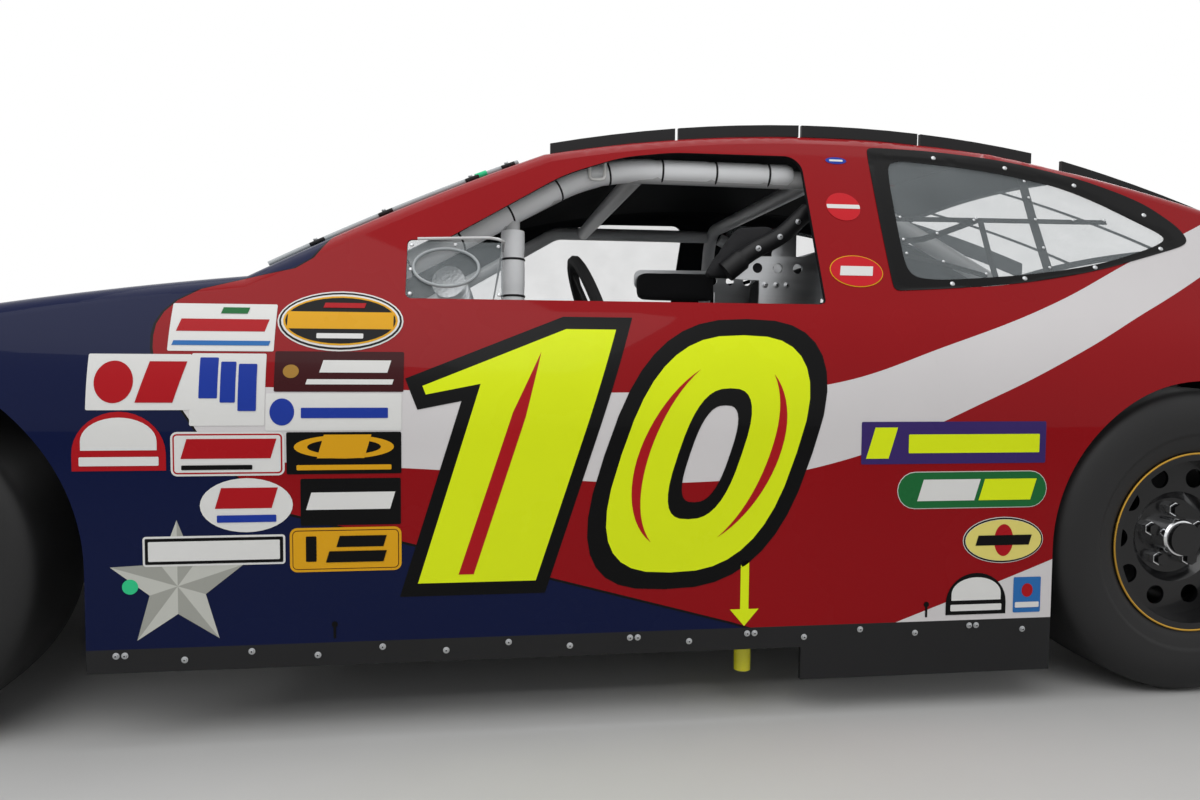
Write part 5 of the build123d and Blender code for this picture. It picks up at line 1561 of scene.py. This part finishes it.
class STOCKCAR_OT_lamps_and_pins(bpy.types.Operator):
    """Adds printed lamps, the grille's mesh, body pins, the fuel filler, and black films that paint the shade inside
    the slots by the skirt
    """
    bl_idname = "stock_car.lamps_and_pins"
    bl_label = "Lamps and pins"

    def execute(self, context):
        nose = node_tree_of("nose", "fender_left", "fender_right")
        tail = node_tree_of("tail", "quarter_panel_left", "quarter_panel_right")
        for name, side in SIDES:
            self.lamps(name, side, nose, tail)
            panel = node_tree_of(f"side_panel_{name}", f"quarter_panel_{name}")
            bm = bmesh.new()
            # Black films painted as the shade inside each slot: a round end and a narrow slot below it
            for x, z in SKIRT_SLOTS:
                film_shape(bm, oval(x, z + 0.010, 0.012, 0.012, 16), panel, side, 0)
                film_shape(bm, rounded(x, z - 0.006, 0.005, 0.024, 0.002), panel, side, 0.2)
            make_piece(f"skirt_slot_shades_{name}", bm, ["black"], 40)
        self.mesh_screen(nose)
        for label, body, spots in (("hood", "hood", HOOD_PINS), ("deck", "deck_lid", DECK_PINS)):
            bm = bmesh.new()
            tree = node_tree_of(body)
            for x, y in spots:
                body_pin(bm, tree, x, y)
            make_piece(f"{label}_pins", bm, ["sheet_aluminium", "bare_steel"], 35, body)
        bm = bmesh.new()
        spot, out = side_point(node_tree_of("quarter_panel_left"), *FILLER_SPOT, -1)
        stack(bm, spot, out, FILLER)
        merge_into(bm, bevelled_block(spot + out * 0.013, (0.060, 0.006, 0.010), None, 0.002), 0)
        make_piece("fuel_filler", bm, ["zinc", "black_trim"], 35)
        return {"FINISHED"}

    def lamps(self, name, side, nose, tail):
        """The printed lamps of one side, front and rear."""
        bm = bmesh.new()
        lamp = [(side * y, z) for y, z in HEADLAMP]
        view_film(bm, lamp, "front", nose, 0, 0)
        view_film(bm, inset_outline(lamp, HEADLAMP_EDGE), "front", nose, 1, 1)
        for y, radius in BULBS:
            for layer, size in ((2, 2 * radius), (3, 1.3 * radius)):
                view_film(bm, oval(side * y, BULB_Z, size, size, 28), "front", nose, layer, layer)
        view_film(bm, rounded(side * TURN_LAMP[0], *TURN_LAMP[1:]), "front", nose, 2, 4)
        looks = ["black", "silver_dark", "lens", "silver", "amber"]
        make_piece(f"headlamp_print_{name}", bm, looks, 40)
        bm = bmesh.new()
        lamp = [(side * y, z) for y, z in TAIL_LAMP]
        view_film(bm, lamp, "rear", tail, 0, 0)
        view_film(bm, inset_outline(lamp, TAIL_LAMP_EDGE), "rear", tail, 1, 1)
        for slot_index, (y, *rest) in enumerate(TAIL_LAMP_PLATES, 2):
            view_film(bm, rounded(side * y, *rest), "rear", tail, 2, slot_index)
        make_piece(f"tail_lamp_print_{name}", bm, ["black", "bright_red", "lens", "dark_red"], 40)

    def mesh_screen(self, nose):
        """Woven wire behind the grille's bars, following the nose."""
        bm = bmesh.new()
        bmesh.ops.create_grid(bm, x_segments=86, y_segments=10, size=0.5)
        for vert in bm.verts:
            y, z = vert.co.x * 2 * GRILLE_HALF, GRILLE_LOW + (vert.co.y + 0.5) * (GRILLE_HIGH - GRILLE_LOW)
            hit, _ = surface_at(nose, (-4, y, GRILLE_HIGH + GRILLE_READ), (1, 0, 0))
            vert.co = Vector((hit.x + GRILLE_IN, y, z))
        bmesh.ops.wireframe(bm, faces=bm.faces[:], thickness=GRILLE_WIRE, use_replace=True, use_boundary=True)
        bmesh.ops.recalc_face_normals(bm, faces=bm.faces[:])
        make_piece("grille_mesh", bm, ["bare_steel"], 40)


# Glass edges in the top view, right half: x, y. Each pane's node, edge and width of its black band
WINDSHIELD_EDGE = [(-0.268, 0.0), (-0.268, 0.578), (-0.800, 0.718), (-0.868, 0.540), (-0.880, 0.0)]
REAR_EDGE = [(1.141, 0.0), (1.141, 0.548), (1.719, 0.632), (1.719, 0.0)]
BANDS = (("windshield", WINDSHIELD_EDGE, 0.040), ("rear_window", REAR_EDGE, 0.036))
BAND_LIFT, BAND_BODY = 0.0010, 0.0006
REAR_STRAPS, REAR_STRAP_HALF, REAR_STRAP_ENDS = (-0.205, 0.205), 0.011, (1.160, 1.700)
REAR_RIVETS = (1.175, 1.34, 1.52, 1.685)
PILLAR_LINE = ((-0.795, 0.724), (-0.266, 0.587))
# Strip beside the pillar: its radius and lift, its green tab as first x, last x, radius and lift, and its clips
STRIP_STEP, STRIP_RADIUS, STRIP_LIFT = 0.012, 0.0065, 0.004
GREEN_TAB = (-0.362, -0.338, 0.0075, 0.0055)
CLIPS, CLIP_LIFT, CLIP_SIZE = (-0.700, -0.560, -0.372, -0.290), 0.006, (0.034, 0.020, 0.008)
CLIP_SCREW = ((0.012, 0.005, 0.005, 12, 0.001, 3),)
ROOF_SPOT = (0.165, 0.0)
ROOF_SCALE = 0.80


def divided(loop, count=16):
    """An outline's edges, each cut in as many steps."""
    return [Vector(a).lerp(Vector(b), k / count) for a, b in zip(loop, loop[1:] + loop[:1]) for k in range(count)]


class STOCKCAR_OT_glass_edges(bpy.types.Operator):
    """Adds the black bands, edge mouldings, clips and braces of the front and rear glass, and the roof number"""
    bl_idname = "stock_car.glass_edges"
    bl_label = "Glass edges"

    def execute(self, context):
        for node, edge, inset in BANDS:
            loop = edge + [(x, -y) for x, y in reversed(edge) if y > 0]
            tree = node_tree_of(node, "windshield_frame", "roof", "tulip_panel", "sail_panel_left", "sail_panel_right")
            bm = band(divided(loop), divided(inset_outline(loop, inset)), 3, (0, 1))
            press(bm, tree, DOWN, BAND_LIFT, BAND_BODY)
            make_piece(f"{node}_band", bm, ["black"], 60)
        tree = node_tree_of("rear_window")
        bm = bmesh.new()
        rivets = bmesh.new()
        first, last = REAR_STRAP_ENDS
        for y in REAR_STRAPS:
            low, high = y - REAR_STRAP_HALF, y + REAR_STRAP_HALF
            view_film(bm, [(first, low), (last, low), (last, high), (first, high)], "top", tree, 1)
            for x in REAR_RIVETS:
                spot, out = top_point(tree, x, y)
                rivet(rivets, spot + out * 0.0016, out, 0.008)
        make_piece("rear_glass_straps", bm, ["black"], 40)
        make_piece("rear_glass_rivets", rivets, ["zinc"], 40)
        for name, side in SIDES:
            self.pillar(name, side)
        roof = node_tree_of("roof")
        bm = bmesh.new()
        for outline in [ONE] + zero_ring(zero_oval(*ZERO_SIZE), zero_oval(*ZERO_HOLE)):
            seen = [(ROOF_SPOT[0] + (x - NUMBER_CENTRE) * ROOF_SCALE, ROOF_SPOT[1] + (z - ZERO_CENTRE[1]) * ROOF_SCALE)
                    for x, z in outline]
            view_film(bm, seen, "top", roof, 0)
        make_piece("roof_number", bm, ["number_yellow"], 40)
        return {"FINISHED"}

    def pillar(self, name, side):
        """The pane's edge strip beside the pillar, with its clips and green tab."""
        tree = node_tree_of("windshield", "windshield_frame")
        (x0, y0), (x1, y1) = PILLAR_LINE

        def on_line(x):
            """The glass's point at x, beside the pillar."""
            return top_point(tree, x, side * (y0 + (y1 - y0) * (x - x0) / (x1 - x0)))

        def strip(first, last, radius, lift):
            """A round strip along the line."""
            count = max(2, round((last - first) / STRIP_STEP))
            spots = [on_line(first + (last - first) * i / count) for i in range(count + 1)]
            return tube_along([spot + out * lift for spot, out in spots], radius, 12)

        bm = bmesh.new()
        merge_into(bm, strip(x0, x1, STRIP_RADIUS, STRIP_LIFT), 0)
        merge_into(bm, strip(*GREEN_TAB), 1)
        for x in CLIPS:
            spot, out = on_line(x)
            turn = out.to_track_quat("Z", "X").to_matrix().to_4x4()
            merge_into(bm, bevelled_block(spot + out * CLIP_LIFT, CLIP_SIZE, turn, 0.002), 2)
            stack(bm, spot, out, CLIP_SCREW)
        looks = ["pane_edge", "dot_green", "black_trim", "zinc"]
        make_piece(f"windshield_edge_{name}", bm, looks, 50)


# Camera, worked out from the photograph's 1200 by 800 frame
CAMERA_PLACE = (-0.361, -2.715, 0.775)
CAMERA_LENS, CAMERA_SENSOR = 27.0, 36.0
CAMERA_YAW, CAMERA_PITCH, CAMERA_ROLL = 7.78, -3.17, 0.43
# Area lamps: name, place, width, height, power
LAMPS = (
    ("key", (-1.5, -3.5, 4.2), 5.0, 3.0, 90), ("fill", (2.5, 4.0, 3.6), 5.0, 3.0, 70),
    ("top", (0.0, 0.0, 5.0), 6.0, 3.5, 80))
LAMP_AIM = Vector((0, 0, 0.5))
FLOOR_HALF = 40


class STOCKCAR_OT_stage(bpy.types.Operator):
    """Makes the camera, the floor and the studio light"""
    bl_idname = "stock_car.stage"
    bl_label = "Stage"

    def execute(self, context):
        scene = context.scene
        lens = bpy.data.cameras.new("camera")
        lens.lens, lens.sensor_width = CAMERA_LENS, CAMERA_SENSOR
        camera = bpy.data.objects.new("camera", lens)
        turn = Matrix.Rotation(radians(-CAMERA_YAW), 4, "Z") @ Matrix.Rotation(radians(CAMERA_PITCH), 4, "X")
        turn = turn @ Matrix.Rotation(radians(-CAMERA_ROLL), 4, "Y") @ Matrix.Rotation(radians(90), 4, "X")
        camera.matrix_world = Matrix.Translation(CAMERA_PLACE) @ turn
        scene.collection.objects.link(camera)
        scene.camera = camera
        scene.view_settings.view_transform = "Standard"
        self.floor(scene)
        for name, spot, width, height, power in LAMPS:
            lamp = bpy.data.lights.new(name, "AREA")
            lamp.shape, lamp.size, lamp.size_y, lamp.energy = "RECTANGLE", width, height, power
            holder = bpy.data.objects.new(name, lamp)
            aim = (LAMP_AIM - Vector(spot)).to_track_quat("-Z", "Y")
            holder.matrix_world = Matrix.Translation(spot) @ aim.to_matrix().to_4x4()
            scene.collection.objects.link(holder)
        self.studio(scene)
        return {"FINISHED"}

    def studio(self, scene):
        """A white world that lights the car at half its strength."""
        world = scene.world or bpy.data.worlds.new("studio")
        scene.world = world
        world.use_nodes = True
        tree = world.node_tree
        tree.nodes.clear()
        path = add(tree, "ShaderNodeLightPath").outputs
        clear = maths(tree, "MAXIMUM", path["Is Camera Ray"], path["Is Transmission Ray"])
        seen = maths(tree, "MAXIMUM", clear, path["Is Glossy Ray"])
        glow = add(tree, "ShaderNodeBackground", {"Color": (1, 1, 1, 1)}, {"Strength": ranged(tree, seen, 0.5, 1.0)})
        add(tree, "ShaderNodeOutputWorld", {}, {"Surface": glow.outputs["Background"]})

    def floor(self, scene):
        """A pale, matt floor that keeps the car's shadow."""
        bm = bmesh.new()
        bmesh.ops.create_grid(bm, x_segments=1, y_segments=1, size=FLOOR_HALF)
        mesh = bpy.data.meshes.new("floor")
        bm.to_mesh(mesh)
        bm.free()
        floor = bpy.data.objects.new("floor", mesh)
        scene.collection.objects.link(floor)
        mesh.materials.append(surface("floor_screed", 0xC9C9C8, 0.8, grain=0.004, bump=0.05, shade=0.02))


class STOCKCAR_PT_panel(bpy.types.Panel):
    """Lists the steps that dress the car"""
    bl_label = "Stock car"
    bl_idname = "STOCKCAR_PT_panel"
    bl_space_type = "VIEW_3D"
    bl_region_type = "UI"
    bl_category = "Stock car"

    def draw(self, context):
        column = self.layout.column()
        for step in STEPS:
            column.operator(step.bl_idname)
        for group in (context.scene.stock_car_colours, context.scene.stock_car_sizes):
            for key in group.__annotations__:
                column.prop(group, key)


STEPS = (
    STOCKCAR_OT_stage, STOCKCAR_OT_cad_finishes, STOCKCAR_OT_graphics, STOCKCAR_OT_tyres, STOCKCAR_OT_wheel_fittings,
    STOCKCAR_OT_fasteners, STOCKCAR_OT_window_trim, STOCKCAR_OT_cage_padding, STOCKCAR_OT_seat_pads,
    STOCKCAR_OT_head_support, STOCKCAR_OT_vent_fittings, STOCKCAR_OT_gauges, STOCKCAR_OT_lamps_and_pins,
    STOCKCAR_OT_glass_edges, STOCKCAR_OT_engine_bay)
CLASSES = (CarColours, CarSizes) + STEPS + (STOCKCAR_PT_panel,)


def register():
    """Registers the classes and the scene's two groups of properties."""
    for each in CLASSES:
        bpy.utils.register_class(each)
    bpy.types.Scene.stock_car_colours = bpy.props.PointerProperty(type=CarColours)
    bpy.types.Scene.stock_car_sizes = bpy.props.PointerProperty(type=CarSizes)


def unregister():
    """Undoes register."""
    del bpy.types.Scene.stock_car_sizes
    del bpy.types.Scene.stock_car_colours
    for each in reversed(CLASSES):
        bpy.utils.unregister_class(each)


def main():
    """Registers the add-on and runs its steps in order."""
    register()
    for step in STEPS:
        group, name = step.bl_idname.split(".")
        result = getattr(getattr(bpy.ops, group), name)()
        if result != {"FINISHED"}:
            raise RuntimeError(f"{step.bl_label} did not finish")
    bpy.context.view_layer.update()


if __name__ == "__main__":
    main()
